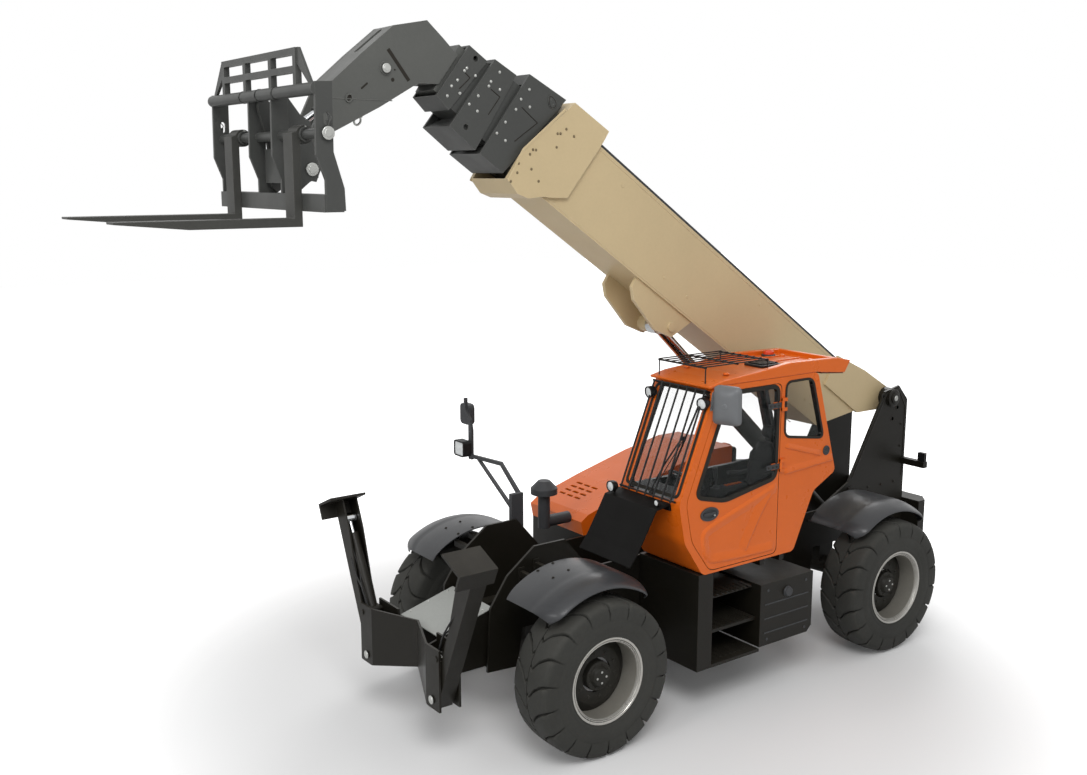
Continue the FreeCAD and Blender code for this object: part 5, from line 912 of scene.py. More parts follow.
def make_carriage_details():
    form = Form()
    for hand in (LEFT, RIGHT):
        out = (0, hand, 0)
        form.pin(fork_point(0.233, hand * 0.972, 0.240), out, 0.046, 0.014, 1)
        keeper = softened([(0.222, 0.286), (0.244, 0.286), (0.248, 0.330), (0.218, 0.330)], 0.006, 3)
        form.slab([fork_point(x, hand * 0.964, z) for x, z in keeper], (0, hand * 0.008, 0))
        wire = [fork_point(0.233, hand * 0.978, 0.285), fork_point(0.228, hand * 0.986, 0.315),
                fork_point(0.212, hand * 0.984, 0.345), fork_point(0.236, hand * 0.980, 0.372)]
        form.tube(wire, 0.004, 8)
        form.pin(fork_point(0.0, hand * 0.204, 0.0), out, 0.050, 0.012, 1)
    for y in (-0.300, 0.0, 0.300):
        for z in (0.500, 0.568):
            form.turned(fork_point(0.299, y, 0.534), (0, 1, 0), [(-0.006, 0.047), (0.006, 0.047)], 28)
    piece("carriage_pins", form, ["arm_grey", "bolt_zinc"], "carriage", 0.0015)

    collar = Form()
    for name, y in (("fork_l", 0.523), ("fork_r", -0.595)):
        for side in (-0.095, 0.095):
            collar.turned(fork_point(0.233, y + side, 0.240), (0, 1, 0),
                          [(-0.012, 0.040), (-0.012, 0.052), (0.012, 0.052), (0.012, 0.040)], 28, closed=True)
            collar.bolt(fork_point(0.233, y + side, 0.2915), (0, 0, 1), 0.006, 1)
    piece("fork_collars", collar, ["arm_grey", "bolt_zinc"], "carriage", 0.0012)


# Stabilisers and front deck

def make_front_details():
    form = Form()
    for hand in (LEFT, RIGHT):
        form.pin(at(3.1895, hand * 0.567, 0.609), (1, 0, 0), 0.036, 0.010, 1)
        form.pin(at(3.1330, hand * 0.640, 0.985), (1, 0, 0), 0.030, 0.010, 1)
        for y, z in ((0.27, 0.72), (0.27, 0.82), (0.27, 0.92), (0.12, 0.70)):
            form.bolt(at(2.9895, hand * y, z), (1, 0, 0), 0.010, 1)
    piece("beam_pins", form, ["frame_black", "bolt_zinc"], "chassis", 0.0015)
    for hand, name in ((LEFT, "l"), (RIGHT, "r")):
        hose = Form()
        top = at(3.078, hand * 0.98, 1.60)
        base = at(3.078, hand * 0.62, 1.02)
        for shift in (-0.022, 0.022):
            path = [base + Vector((0.058 + shift * 0.2, 0, 0.02)), base + Vector((0.070, hand * 0.08, 0.17)),
                    base.lerp(top, 0.5) + Vector((0.060 + shift, 0, 0)), base.lerp(top, 0.86) + Vector((0.055, hand * shift, 0))]
            hose.tube(path, 0.008, 8)
        piece(f"stabiliser_hose_{name}", hose, ["hose_black"], f"leg_barrel_{name}", 0.0)
    deck = Form()
    for x, y in ((2.50, 0.29), (2.70, 0.29), (2.88, 0.29), (2.50, -0.29), (2.70, -0.29), (2.88, -0.29)):
        share = (x - 2.42) / 0.54
        z = 1.160 + (1.0142 - 1.160) * share
        deck.bolt(at(x, y, z - 0.001), (0.26, 0, 1), 0.010)
    piece("deck_bolts", deck, ["bolt_zinc"], "chassis", 0.0)


# Inside the cab

def puffed(name, form, materials, body, voxel, pressure, cap):
    """A padded piece: its form is remeshed, blown up a little as cloth and fixed."""
    thing = piece(name, form, materials, body)
    for extra in list(thing.modifiers):
        thing.modifiers.remove(extra)
    merge = thing.modifiers.new("voxels", "REMESH")
    merge.mode = "VOXEL"
    merge.voxel_size = voxel
    fix_modifier(thing)
    start = [vertex.co.copy() for vertex in thing.data.vertices]
    cloth = thing.modifiers.new("cloth", "CLOTH")
    cloth.settings.use_pressure = True
    cloth.settings.uniform_pressure_force = pressure
    cloth.settings.effector_weights.gravity = 0.0
    cloth.settings.mass = 0.3
    cloth.settings.tension_stiffness = 18
    cloth.settings.compression_stiffness = 18
    cloth.settings.bending_stiffness = 1.5
    cloth.point_cache.frame_start = 1
    cloth.point_cache.frame_end = 20
    scene = bpy.context.scene
    for step in range(1, 21):
        scene.frame_set(step)
    graph = bpy.context.evaluated_depsgraph_get()
    swollen = [vertex.co.copy() for vertex in thing.evaluated_get(graph).data.vertices]
    thing.modifiers.remove(cloth)
    scene.frame_set(1)
    for vertex, first, last in zip(thing.data.vertices, start, swollen):
        move = last - first
        if move.length > cap:
            move = move.normalized() * cap
        vertex.co = first + move
    soft = thing.modifiers.new("soft", "SUBSURF")
    soft.levels = 1
    soft.render_levels = 1
    fix_modifier(thing)
    thing.data.shade_smooth()
    return thing


def fix_modifier(thing):
    graph = bpy.context.evaluated_depsgraph_get()
    mesh = bpy.data.meshes.new_from_object(thing.evaluated_get(graph))
    old = thing.data
    thing.modifiers.clear()
    thing.data = mesh
    bpy.data.meshes.remove(old)


SEAT_AT = (-0.190, 0.810)


def crowned(form, stations, across, count=24, shade=0):
    """A closed pad from cross sections: each has a middle, an up direction, half width and half thickness."""
    rings = []
    for middle, up, half_width, half_thick, edge in stations:
        ring = []
        for k in range(count):
            angle = 2 * math.pi * k / count
            c, s = math.cos(angle), math.sin(angle)
            wide = half_width * math.copysign(abs(c) ** edge, c)
            thick = half_thick * math.copysign(abs(s) ** edge, s)
            ring.append(Vector(middle) + Vector(across) * wide + Vector(up) * thick)
        rings.append(ring)
    points = [point for ring in rings for point in ring]
    faces = []
    for row in range(len(rings) - 1):
        for k in range(count):
            after, base = (k + 1) % count, row * count
            faces.append((base + k, base + after, base + count + after, base + count + k))
    last = (len(rings) - 1) * count
    faces += [tuple(reversed(range(count))), tuple(range(last, last + count))]
    form.add(points, faces, shade)


def make_seat():
    low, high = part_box("driver_seat")
    x, y = SEAT_AT
    cushion = Form()
    stations = []
    for share, width, thick in ((0.0, 0.150, 0.020), (0.06, 0.205, 0.048), (0.25, 0.228, 0.058), (0.55, 0.226, 0.052),
                                (0.85, 0.222, 0.056), (0.96, 0.200, 0.046), (1.0, 0.150, 0.020)):
        along = x + 0.128 - 0.385 * share
        height = 1.792 - 0.035 * share + 0.018 * math.sin(math.pi * share)
        stations.append((at(along, y, height), Vector((0, 0, 1)), width, thick, 0.55))
    crowned(cushion, stations, SIDE)
    for hand in (LEFT, RIGHT):
        roll = []
        for share, size in ((0.0, 0.016), (0.08, 0.034), (0.5, 0.040), (0.92, 0.034), (1.0, 0.016)):
            roll.append((at(x + 0.110 - 0.320 * share, y + hand * 0.185, 1.815 - 0.025 * share), Vector((0, 0, 1)),
                         size, size, 0.9))
        crowned(cushion, roll, SIDE, 16)
    seat = puffed("seat_cushion", cushion, ["seat_black"], "chassis", 0.006, 4.0, 0.010)

    back = Form()
    lean = Vector((-0.188, 0, 0.982)).normalized()
    ahead = Vector((lean.z, 0, -lean.x))
    root = at(x - 0.205, y, 1.815)
    stations = []
    for rise, width, thick in ((0.0, 0.150, 0.020), (0.03, 0.205, 0.050), (0.14, 0.228, 0.060), (0.30, 0.222, 0.050),
                               (0.42, 0.205, 0.050), (0.495, 0.165, 0.046), (0.52, 0.110, 0.018)):
        stations.append((root + lean * rise, ahead, width, thick, 0.55))
    crowned(back, stations, SIDE)
    for hand in (LEFT, RIGHT):
        roll = []
        for rise, size in ((0.04, 0.014), (0.08, 0.036), (0.24, 0.042), (0.38, 0.036), (0.44, 0.014)):
            roll.append((root + lean * rise + ahead * 0.034 + SIDE * hand * 0.178, ahead, size, size, 0.9))
        crowned(back, roll, SIDE, 16)
    rest = puffed("seat_back", back, ["seat_black"], "chassis", 0.006, 4.0, 0.010)

    head = Form()
    stations = []
    for rise, width, thick in ((0.545, 0.080, 0.016), (0.56, 0.118, 0.036), (0.61, 0.132, 0.045), (0.655, 0.120, 0.036),
                               (0.67, 0.080, 0.014)):
        stations.append((root + lean * rise + ahead * 0.004, ahead, width, thick, 0.6))
    crowned(head, stations, SIDE)
    pillow = puffed("seat_headrest", head, ["seat_black"], "chassis", 0.006, 4.0, 0.008)

    base = Form()
    pan = softened([(x + 0.120, 1.742), (x + 0.120, 1.712), (x - 0.260, 1.700), (x - 0.300, 1.716), (x - 0.300, 1.735)], 0.02, 4)
    base.slab([at(a, y - 0.215, b) for a, b in pan], (0, 0.430, 0))
    shell = [root + lean * r + ahead * t for r, t in ((-0.06, -0.048), (0.10, -0.072), (0.36, -0.066), (0.48, -0.048),
                                                      (0.47, -0.030), (0.0, -0.030))]
    base.slab([point - SIDE * 0.195 for point in shell], (0, 0.390, 0))
    for hand in (LEFT, RIGHT):
        base.tube([root + lean * 0.46 + SIDE * hand * 0.06 - ahead * 0.01, root + lean * 0.60 + SIDE * hand * 0.06], 0.007, 10, soft=False)
        rest_line = [root + lean * 0.20 + SIDE * hand * 0.232 - ahead * 0.03, root + lean * 0.17 + SIDE * hand * 0.236 + ahead * 0.10,
                     root + lean * 0.155 + SIDE * hand * 0.236 + ahead * 0.28]
        base.tube(rest_line, 0.021, 12)
    folds = 7
    for k in range(folds):
        z = 1.415 + k * 0.041
        grow = 0.150 + (0.012 if k % 2 else 0.0)
        ring = softened([(x - 0.12 + grow, y + grow), (x - 0.12 - grow, y + grow), (x - 0.12 - grow, y - grow), (x - 0.12 + grow, y - grow)], 0.04, 4)
        base.slab([at(a, b, z) for a, b in ring], (0, 0, 0.039))
    foot = softened([(x + 0.06, y + 0.17), (x - 0.30, y + 0.17), (x - 0.30, y - 0.17), (x + 0.06, y - 0.17)], 0.03, 4)
    base.slab([at(a, b, 1.396) for a, b in foot], (0, 0, 0.018))
    frame_piece = piece("seat_frame", base, ["trim_black"], "chassis", 0.004, 2)
    for each in (seat, rest, pillow, frame_piece):
        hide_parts("driver_seat")


def make_controls():
    low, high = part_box("steering_wheel")
    middle = (low + high) / 2
    lean = math.radians(35.0)
    axis = Vector((-math.sin(lean), 0, math.cos(lean)))
    ahead, side, other = frame_of(axis)
    hub = at(0.620, 0.810, 2.120)
    form = Form()
    rim = [hub + (side * math.cos(2 * math.pi * k / 48) + other * math.sin(2 * math.pi * k / 48)) * 0.166 for k in range(49)]
    form.tube(rim, 0.0135, 12, soft=False)
    for k in range(3):
        angle = 2 * math.pi * k / 3 + 0.5
        out = side * math.cos(angle) + other * math.sin(angle)
        form.tube([hub - axis * 0.004 + out * 0.02, hub - axis * 0.010 + out * 0.09, hub + out * 0.162], 0.010, 10)
    form.turned(hub - axis * 0.030, axis, [(0, 0.022), (0.0, 0.045), (0.022, 0.050), (0.034, 0.040), (0.036, 0.004)], 32)
    knob = hub + (side * -0.6 + other * 0.8) * 0.166
    form.turned(knob, axis, [(0, 0.008), (0.020, 0.008), (0.024, 0.020), (0.040, 0.024), (0.052, 0.016), (0.054, 0.003)], 20)
    form.tube([hub - axis * 0.03, hub - axis * 0.10, hub - axis * 0.108 + Vector((0.001, 0, 0))], 0.034, 20, soft=False)
    wheel = piece("helm_rim", form, ["trim_black"], "chassis", 0.0)
    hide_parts("steering_wheel")

    form = Form()
    box = softened([(-0.02, 0.56), (-0.02, 0.455), (-0.44, 0.455), (-0.44, 0.56)], 0.02, 4)
    form.slab([at(a, b, 1.395) for a, b in box], (0, 0, 0.475))
    stick = at(-0.06, 0.510, 1.868)
    form.turned(stick, (0, 0, 1), [(0, 0.034), (0.010, 0.036), (0.022, 0.026), (0.030, 0.014), (0.045, 0.009)], 24)
    form.tube([stick + Vector((0, 0, 0.03)), stick + Vector((0.005, 0, 0.09))], 0.009, 10, soft=False)
    grip = [(0, 0.012), (0.01, 0.020), (0.05, 0.024), (0.085, 0.022), (0.115, 0.026), (0.130, 0.018), (0.133, 0.003)]
    form.turned(stick + Vector((0.006, 0, 0.085)), (0.12, 0, 1), grip, 20)
    for k in range(5):
        form.slab([at(-0.20 - 0.045 * k + a, 0.508 + b, 1.869) for a, b in ((0.012, 0.02), (-0.012, 0.02), (-0.012, -0.02), (0.012, -0.02))],
                  (0, 0, 0.010), 1)
    for y, x in ((0.700, 0.700), (0.880, 0.700), (0.980, 0.700)):
        pad = softened([(x, y + 0.030), (x, y - 0.030), (x - 0.02, y - 0.030), (x - 0.02, y + 0.030)], 0.006, 2)
        form.slab([at(a, b, 1.47) for a, b in pad], (0.05, 0, 0.09))
        form.tube([at(x + 0.03, y, 1.52), at(x + 0.06, y, 1.62)], 0.008, 8, soft=False)
    piece("cab_console", form, ["trim_black", "cab_orange"], "chassis", 0.003)


# Outside of the cab

def screen_at(y, z, out=0.0):
    """A point on the windscreen's plane, moved out from it."""
    x = 1.060 - 0.41 * (z - 2.040)
    return at(x, y, z) + Vector((1.0, 0, 0.41)).normalized() * out


def make_screen():
    form = Form()
    outer = softened([(0.452, 2.085), (1.168, 2.085), (1.168, 2.985), (0.452, 2.985)], 0.06, 5)
    form.band([screen_at(y, z, 0.001) for y, z in outer], [screen_at(y, z, 0.001) for y, z in shifted(outer, 0.028)],
              Vector((1.0, 0, 0.41)).normalized() * 0.006)
    piece("screen_seal", form, ["rubber_black"], "chassis", 0.0015)

    form = Form()
    root = screen_at(0.830, 2.075, 0.028)
    form.turned(root - Vector((0.02, 0, 0.008)), (1, 0, 0.41), [(0, 0.024), (0.016, 0.024), (0.022, 0.016), (0.024, 0.004)], 20)
    form.tube([root, screen_at(0.900, 2.300, 0.036), screen_at(1.010, 2.560, 0.034)], 0.0075, 8)
    form.tube([root + SIDE * 0.035, screen_at(0.945, 2.300, 0.036), screen_at(1.040, 2.560, 0.034)], 0.0045, 8)
    form.slab([screen_at(1.000, 2.545, 0.026), screen_at(1.062, 2.555, 0.026), screen_at(1.058, 2.590, 0.026), screen_at(0.998, 2.580, 0.026)],
              Vector((1.0, 0, 0.41)).normalized() * 0.016)
    form.slab([screen_at(0.985, 2.230, 0.010), screen_at(1.000, 2.228, 0.010), screen_at(1.088, 2.905, 0.010), screen_at(1.073, 2.907, 0.010)],
              Vector((1.0, 0, 0.41)).normalized() * 0.012)
    piece("screen_wiper", form, ["guard_black"], "chassis", 0.0015)


def lamp_can(form, middle, ahead, radius, depth):
    """A round lamp: a can, a bezel and its lens."""
    back = Vector(middle)
    form.turned(back, ahead, [(0, radius * 0.55), (0, radius * 0.75), (depth * 0.35, radius * 0.95), (depth * 0.9, radius),
                              (depth, radius), (depth, radius * 0.84), (depth * 0.86, radius * 0.82)], 36)
    form.turned(back + Vector(ahead).normalized() * depth * 0.84, ahead,
                [(0, radius * 0.82), (depth * 0.08, radius * 0.80), (depth * 0.16, radius * 0.5), (depth * 0.18, 0.002)], 36, shade=1)


def make_roof():
    form = Form()
    lamp_can(form, at(0.716, 1.150, 2.905), (1, 0.12, -0.1), 0.055, 0.075)
    form.tube([at(0.700, 1.150, 2.950), at(0.735, 1.150, 2.958)], 0.012, 10, soft=False)
    lamp_can(form, at(0.716, 0.470, 2.905), (1, -0.12, -0.1), 0.055, 0.075)
    piece("work_lamps", form, ["guard_black", "lamp_lens"], "chassis", 0.0)

    form = Form()
    base = at(-0.690, 0.545, 3.104)
    form.turned(base, (0, 0, 1), [(0, 0.068), (0.016, 0.068), (0.022, 0.060), (0.022, 0.048)], 36, shade=1)
    form.turned(base + Vector((0, 0, 0.020)), (0, 0, 1), [(0, 0.052), (0.006, 0.054), (0.030, 0.050), (0.042, 0.038), (0.046, 0.004)], 36)
    piece("roof_beacon", form, ["beacon_red", "trim_black"], "chassis", 0.0)

    form = Form()
    hatch = softened([(-0.10, 0.78), (-0.10, 1.02), (-0.36, 1.02), (-0.36, 0.78)], 0.03, 4)
    form.slab([at(a, b, 3.1045) for a, b in hatch], (0, 0, 0.022))
    for k in range(6):
        x = -0.135 - 0.038 * k
        form.slab([at(x, 0.81, 3.126), at(x, 0.99, 3.126), at(x - 0.018, 0.99, 3.126), at(x - 0.018, 0.81, 3.126)], (0, 0, 0.012))
    piece("roof_hatch", form, ["guard_black"], "chassis", 0.003)

    form = Form()
    for x, y in ((-0.80, 0.62), (-0.80, 0.98), (0.40, 0.56), (0.40, 1.06)):
        form.turned(at(x, y, 3.104), (0, 0, 1), [(0, 0.030), (0.012, 0.030), (0.020, 0.020), (0.022, 0.003)], 24)
    for y in (0.60, 0.80, 1.00):
        rib = softened([(-0.84, y - 0.02), (-0.84, y + 0.02), (-0.42, y + 0.02), (-0.42, y - 0.02)], 0.015, 3)
        form.slab([at(a, b, 3.1045) for a, b in rib], (0, 0, 0.010))
    piece("roof_ribs", form, ["cab_orange"], "chassis", 0.004, 3)

    # A near-black slab below the roof's rear visor.
    form = Form()
    wedge = [(-0.720, 3.018), (-1.035, 2.990), (-1.105, 3.096), (-1.060, 3.092), (-1.020, 3.010), (-0.720, 3.028)]
    form.slab([at(x, 0.440, z) for x, z in wedge], (0, 0.745, 0))
    piece("visor_dark_slab", form, ["guard_black"], "chassis", 0.002)


def make_mirrors():
    low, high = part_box("mirror_left")
    turn = math.radians(17)
    middle = at(0.700, 1.374, 2.905)
    ahead = Vector((math.cos(turn), math.sin(turn), 0))
    across = Vector((-math.sin(turn), math.cos(turn), 0))
    form = Form()
    rows = []
    for push, grow in ((-0.036, 0.0), (-0.032, 0.006), (0.0, 0.004), (0.018, -0.012), (0.034, -0.045), (0.040, -0.085)):
        line = softened([(-0.128 - grow, -0.166 - grow), (0.128 + grow, -0.160 - grow), (0.122 + grow, 0.166 + grow),
                         (-0.120 - grow, 0.166 + grow)], 0.05, 5)
        rows.append([middle + ahead * push + across * a + Vector((0, 0, b)) for a, b in line])
    count = len(rows[0])
    faces = [tuple(reversed(range(count)))]
    for row in range(len(rows) - 1):
        for k in range(count):
            after, base = (k + 1) % count, row * count
            faces.append((base + k, base + after, base + count + after, base + count + k))
    faces.append(tuple(range((len(rows) - 1) * count, len(rows) * count)))
    form.add([point for row in rows for point in row], faces)
    pane = softened([(-0.116, -0.152), (0.116, -0.148), (0.110, 0.154), (-0.108, 0.154)], 0.04, 5)
    form.slab([middle - ahead * 0.0355 + across * a + Vector((0, 0, b)) for a, b in pane], ahead * -0.002, 1)
    form.pin(middle + ahead * 0.0385, ahead, 0.024, 0.006, 0)
    form.tube([at(0.690, 1.201, 2.985), at(0.700, 1.240, 2.975), at(0.712, 1.300, 2.945)], 0.012, 10)
    form.tube([at(0.690, 1.201, 2.860), at(0.700, 1.240, 2.870), at(0.712, 1.300, 2.900)], 0.012, 10)
    plate = softened([(0.662, 2.845), (0.726, 2.835), (0.702, 3.000), (0.640, 3.006)], 0.012, 3)
    form.slab(wall(plate, 1.2005), (0, 0.008, 0))
    mirror = piece("mirror_shell_left", form, ["mirror_grey", "mirror_glass"], "chassis", 0.0, angle=50)
    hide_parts("mirror_left")


# Fenders, lamps and frame details

# One fender across: distance from the machine's middle and radius about the wheel.
FENDER_LINE = ((0.604, 0.866), (0.606, 0.8760), (0.640, 0.8785), (0.800, 0.8795), (0.955, 0.8790), (0.985, 0.8735), (1.015, 0.8780),
               (1.055, 0.8740), (1.105, 0.8640), (1.160, 0.8460), (1.205, 0.8270), (1.236, 0.8080), (1.247, 0.7960), (1.245, 0.7860))
FENDER_HALF = math.radians(41.5)
FENDER_ARMS = ((1.9, ((0.100, 1.506), (0.260, 1.460))), (-1.9, ((-0.300, 1.475), (-0.440, 1.420))))


def make_fenders():
    low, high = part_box("fenders")
    for wheel_x, arms in FENDER_ARMS:
        for hand in (LEFT, RIGHT):
            name = f"{'front' if wheel_x > 0 else 'rear'}_{'l' if hand > 0 else 'r'}"
            form = Form()
            rows, points, faces = 40, [], []
            for row in range(rows + 1):
                turn = FENDER_HALF * (2 * row / rows - 1)
                end = max(0.0, (abs(turn) - FENDER_HALF * 0.74) / (FENDER_HALF * 0.26))
                pull = end ** 2.6
                for y, r in FENDER_LINE:
                    share = (y - 0.604) / 0.643
                    across = y - 0.105 * pull * share ** 2
                    radius = r - 0.022 * pull
                    points.append(at(wheel_x + radius * math.sin(turn), hand * across, 0.688 + radius * math.cos(turn)))
            wide = len(FENDER_LINE)
            for row in range(rows):
                for k in range(wide - 1):
                    base = row * wide + k
                    faces.append((base, base + 1, base + wide + 1, base + wide))
            form.add(points, faces)
            skin = piece(f"fender_{name}", form, ["fender_grey"], "chassis", 0.0, angle=60)
            thick = skin.modifiers.new("sheet", "SOLIDIFY")
            thick.thickness = 0.010
            thick.offset = -1.0 if signed(skin, hand) else 1.0
            cut = skin.modifiers.new("edges", "BEVEL")
            cut.width, cut.segments, cut.limit_method = 0.003, 2, "ANGLE"
            cut.angle_limit = math.radians(50)
            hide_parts("fenders")
            stays = Form()
            for x, z in arms:
                drop = [(-0.020, -0.030), (0.020, -0.030), (0.020, 0.030), (-0.020, 0.030)]
                line = softened(drop, 0.006, 3)
                stays.slab([at(wheel_x + x + a, hand * 0.3903, z - 0.03 + b) for a, b in line], (0, hand * 0.290, 0))
                top = 0.688 + math.sqrt(0.868 ** 2 - x ** 2)
                for y in (0.640, 0.860):
                    stays.bolt(at(wheel_x + x, hand * y, top + 0.0095), (x / 0.868, 0, (top - 0.688) / 0.868), 0.011)
                stays.slab([at(wheel_x + x - 0.03, hand * 0.392, z - 0.10), at(wheel_x + x + 0.03, hand * 0.392, z - 0.10),
                            at(wheel_x + x + 0.03, hand * 0.392, z + 0.03), at(wheel_x + x - 0.03, hand * 0.392, z + 0.03)],
                           (0, hand * 0.010, 0))
            arms_piece = piece(f"fender_arms_{name}", stays, ["frame_black"], "chassis", 0.003)
            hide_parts("fenders")


def signed(thing, hand):
    """Whether the skin's faces point outwards at its top."""
    top = max(thing.data.polygons, key=lambda face: face.center.z)
    return top.normal.z > 0


def make_lamps():
    form = Form()
    lamp_can(form, at(1.152, 0.450, 2.077), (1, 0, 0), 0.052, 0.066)
    lamp_can(form, at(1.152, 1.040, 2.052), (1, 0, 0), 0.029, 0.036)
    for y, z in ((0.450, 2.022), (1.040, 2.022)):
        form.tube([at(1.150, y, 2.000), at(1.165, y, z + 0.010)], 0.011, 10, soft=False)
    box = softened([(-0.090, -0.080), (0.090, -0.080), (0.090, 0.080), (-0.090, 0.080)], 0.03, 5)
    form.slab([at(1.640, -1.310 + a, 2.160 + b) for a, b in box], (0.075, 0, 0))
    back = shifted(box, 0.022)
    form.slab([at(1.617, -1.310 + a, 2.160 + b) for a, b in back], (0.024, 0, 0))
    form.band([at(1.714, -1.310 + a, 2.160 + b) for a, b in box], [at(1.714, -1.310 + a, 2.160 + b) for a, b in shifted(box, 0.014)],
              (0.014, 0, 0))
    form.slab([at(1.714, -1.310 + a, 2.160 + b) for a, b in shifted(box, 0.013)], (0.006, 0, 0), 1)
    for y in (-1.352, -1.268):
        form.turned(at(1.7195, y, 2.160), (1, 0, 0), [(0, 0.036), (0.003, 0.034), (0.004, 0.020), (0.006, 0.003)], 28, shade=1)
    lamps = [piece("lamps_front", form, ["guard_black", "lamp_lens"], "chassis", 0.0015)]
    tail = Form()
    for hand in (LEFT, RIGHT):
        line = softened([(-0.045, -0.049), (0.045, -0.049), (0.045, 0.049), (-0.045, 0.049)], 0.012, 4)
        tail.slab([at(-3.069, hand * 0.655 + a, 1.765 + b) for a, b in line], (-0.040, 0, 0))
        tail.slab([at(-3.109, hand * 0.655 + a, 1.765 + b) for a, b in shifted(line, 0.006) if b > -0.012],
                  (-0.016, 0, 0), 1)
        tail.slab([at(-3.109, hand * 0.655 + a, 1.765 + b) for a, b in shifted(line, 0.006) if b < -0.012],
                  (-0.016, 0, 0), 2)
    lamps.append(piece("lamps_rear", tail, ["guard_black", "lens_red", "lamp_lens"], "chassis", 0.002))
    for each in lamps:
        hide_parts("lamps")


def ridge(form, path, height, inner, outer, y=CAB_Y):
    """A crease pressed in the cab's side: steep on its left, gentle on its right, flush at both feet."""
    count = len(path)
    rows = []
    for index, (x, z) in enumerate(path):
        before = Vector(path[max(index - 1, 0)])
        after = Vector(path[min(index + 1, count - 1)])
        ahead = (after - before).normalized()
        left = Vector((-ahead.y, ahead.x))
        tall = 0.0006 if index in (0, count - 1) else height
        middle = Vector((x, z))
        near, far = middle + left * inner, middle - left * outer
        rows.append([(near, -0.0008), (middle + left * 0.004, tall), (middle - left * 0.010, tall), (far, -0.0008)])
    points = [at(p.x, y + rise, p.y) for row in rows for p, rise in row]
    faces = []
    for row in range(count - 1):
        for k in range(3):
            base = row * 4 + k
            faces.append((base, base + 1, base + 5, base + 4))
    form.add(points, faces)


def along(points, steps=8):
    return [(p.x, p.y) for p in smooth_line([Vector(point) for point in points], steps)]


def make_creases():
    form = Form()
    ridge(form, along(((-0.150, 2.040), (0.20, 1.932), (0.60, 1.812), (0.735, 1.760), (0.772, 1.705), (0.762, 1.610), (0.735, 1.530),
                       (0.668, 1.470), (0.560, 1.452), (0.234, 1.436), (-0.150, 1.430))), 0.017, 0.024, 0.075)
    ridge(form, along(((-0.084, 1.975), (0.02, 1.850), (0.14, 1.665), (0.252, 1.470)), 6), 0.014, 0.100, 0.018)
    piece("door_creases", form, ["cab_orange"], "door", 0.0, angle=70)
    form = Form()
    ridge(form, along(((-0.250, 2.128), (-0.50, 2.142), (-0.75, 2.158), (-0.915, 2.168))), 0.014, 0.012, 0.060)
    ridge(form, along(((-0.250, 2.380), (-0.50, 2.306), (-0.740, 2.236))), 0.012, 0.010, 0.045)
    piece("cab_creases", form, ["cab_orange"], "chassis", 0.0, angle=70)


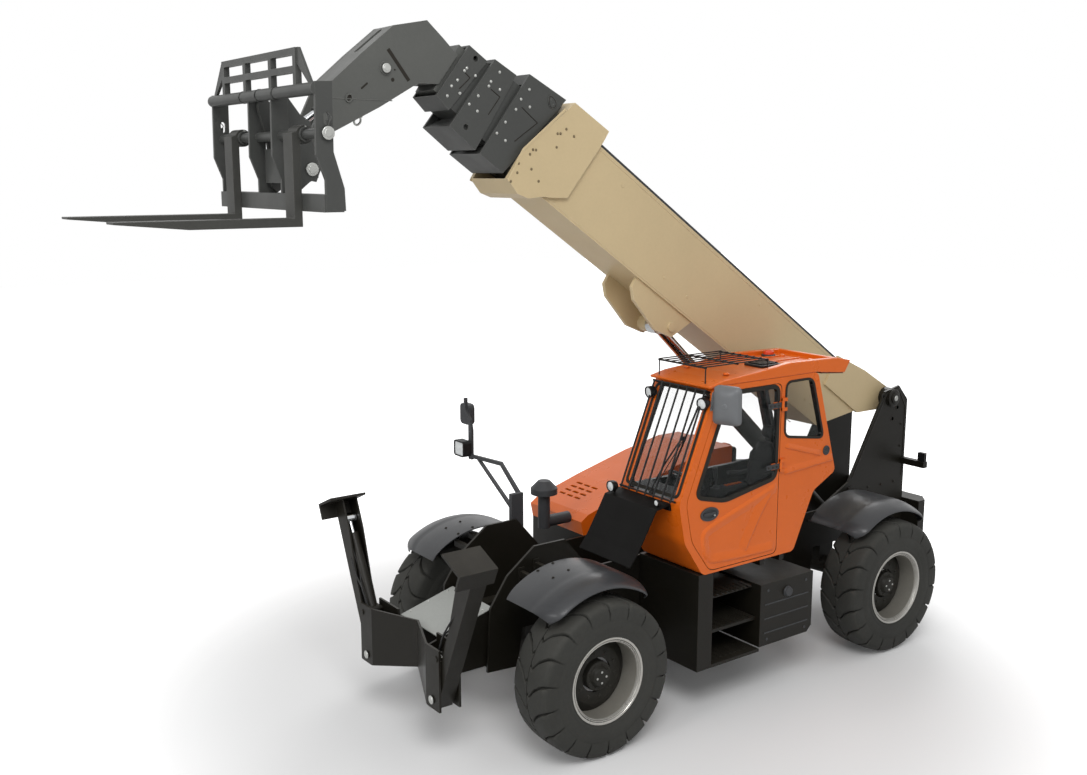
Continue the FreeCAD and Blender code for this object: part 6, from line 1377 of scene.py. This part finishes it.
def make_frame_details():
    form = Form()
    for hand in (LEFT, RIGHT):
        out = (0, hand, 0)
        face = hand * 0.3895
        pivot = at(-2.860, hand * 0.409, 2.420)
        form.turned(pivot, out, [(0, 0.098), (0.010, 0.098), (0.018, 0.088), (0.018, 0.062), (0.030, 0.060), (0.034, 0.052), (0.034, 0.002)], 36)
        form.pin(pivot + Vector((0, hand * 0.033, 0)), out, 0.030, 0.006, 1)
        for x, z in ((-2.880, 2.180), (-2.700, 2.452), (-2.960, 2.300)):
            form.turned(at(x, face, z), out, [(0, 0.032), (0.004, 0.030), (0.004, 0.020), (0.0005, 0.019), (0.0005, 0.002)], 28)
        for x, z in ((-2.30, 1.42), (-2.52, 1.45), (-2.74, 1.45), (-2.96, 1.45), (-3.04, 1.85), (-3.04, 2.10),
                     (-1.55, 1.24), (-1.20, 1.24), (-0.80, 1.24), (0.95, 1.24), (1.25, 1.24)):
            form.bolt(at(x, face, z), out, 0.012)
        rim = [(-3.095, 1.50), (-3.095, 2.30), (-2.965, 2.505), (-2.760, 2.470), (-2.235, 1.60)]
        for (a, b), (c, d) in zip(rim, rim[1:]):
            form.tube([at(a, face, b), at(c, face, d)], 0.008, 8, soft=False)
    piece("frame_bolts", form, ["frame_black", "bolt_zinc"], "chassis", 0.0, angle=40)

    form = Form()
    for z in (0.4695, 0.7695, 1.0695):
        for k in range(9):
            x = 0.040 + 0.062 * k
            form.slab([at(x, 0.95, z), at(x + 0.03, 0.95, z), at(x + 0.03, 1.12, z), at(x, 1.12, z)], (0, 0, 0.006))
    piece("step_treads", form, ["frame_black"], "chassis", 0.0015, 1)

    form = Form()
    cap = at(-0.360, 1.1940, 0.960)
    form.turned(cap, (0, 1, 0), [(0, 0.052), (0.010, 0.052), (0.016, 0.046), (0.030, 0.044), (0.034, 0.038), (0.034, 0.002)], 32)
    for k in range(3):
        z = 0.60 + 0.14 * k
        form.slab([at(-0.66, 1.1945, z), at(-0.06, 1.1945, z), at(-0.06, 1.1945, z + 0.012), at(-0.66, 1.1945, z + 0.012)], (0, 0.004, 0))
    for x in (-0.62, -0.10):
        for z in (0.54, 1.02):
            form.bolt(at(x, 1.1945, z), (0, 1, 0), 0.010)
    piece("tank_trim", form, ["trim_black"], "chassis", 0.002)

    form = Form()
    for x in (-0.90, -0.30, 0.30):
        form.turned(at(x, -1.2495, 1.02), (0, -1, 0), [(0, 0.030), (0.008, 0.030), (0.014, 0.022), (0.016, 0.003)], 24)
    for row in range(9):
        z = 0.74 + 0.045 * row
        form.slab([at(-0.80, -1.2495, z), at(0.62, -1.2495, z), at(0.62, -1.2495, z + 0.016), at(-0.80, -1.2495, z + 0.016)], (0, -0.008, 0))
    piece("pod_grille", form, ["trim_black"], "chassis", 0.002)

    form = Form()
    for x in (-0.85, 0.10):
        form.slab([at(x, -1.2505, 1.40), at(x + 0.10, -1.2505, 1.40), at(x + 0.10, -1.2505, 1.46), at(x, -1.2505, 1.46)], (0, -0.010, 0))
        form.turned(at(x + 0.05, -1.2600, 1.43), (0, -1, 0), [(0, 0.018), (0.006, 0.018), (0.008, 0.012), (0.008, 0.002)], 24)
    piece("hood_latches", form, ["trim_black"], "hood", 0.002)


bpy.context.scene.view_settings.view_transform = "Standard"
make_camera()
make_lights()
make_world()
make_floor()
MATERIALS = make_materials()
dress(MATERIALS)
make_tyres()
make_rims()
make_cab_seals()
make_door_trim()
make_cab_trim()
make_collars()
make_arm_details()
make_neck_details()
make_carriage_details()
make_front_details()
make_seat()
make_controls()
make_screen()
make_roof()
make_mirrors()
make_frame_details()
make_creases()
make_lamps()
make_fenders()
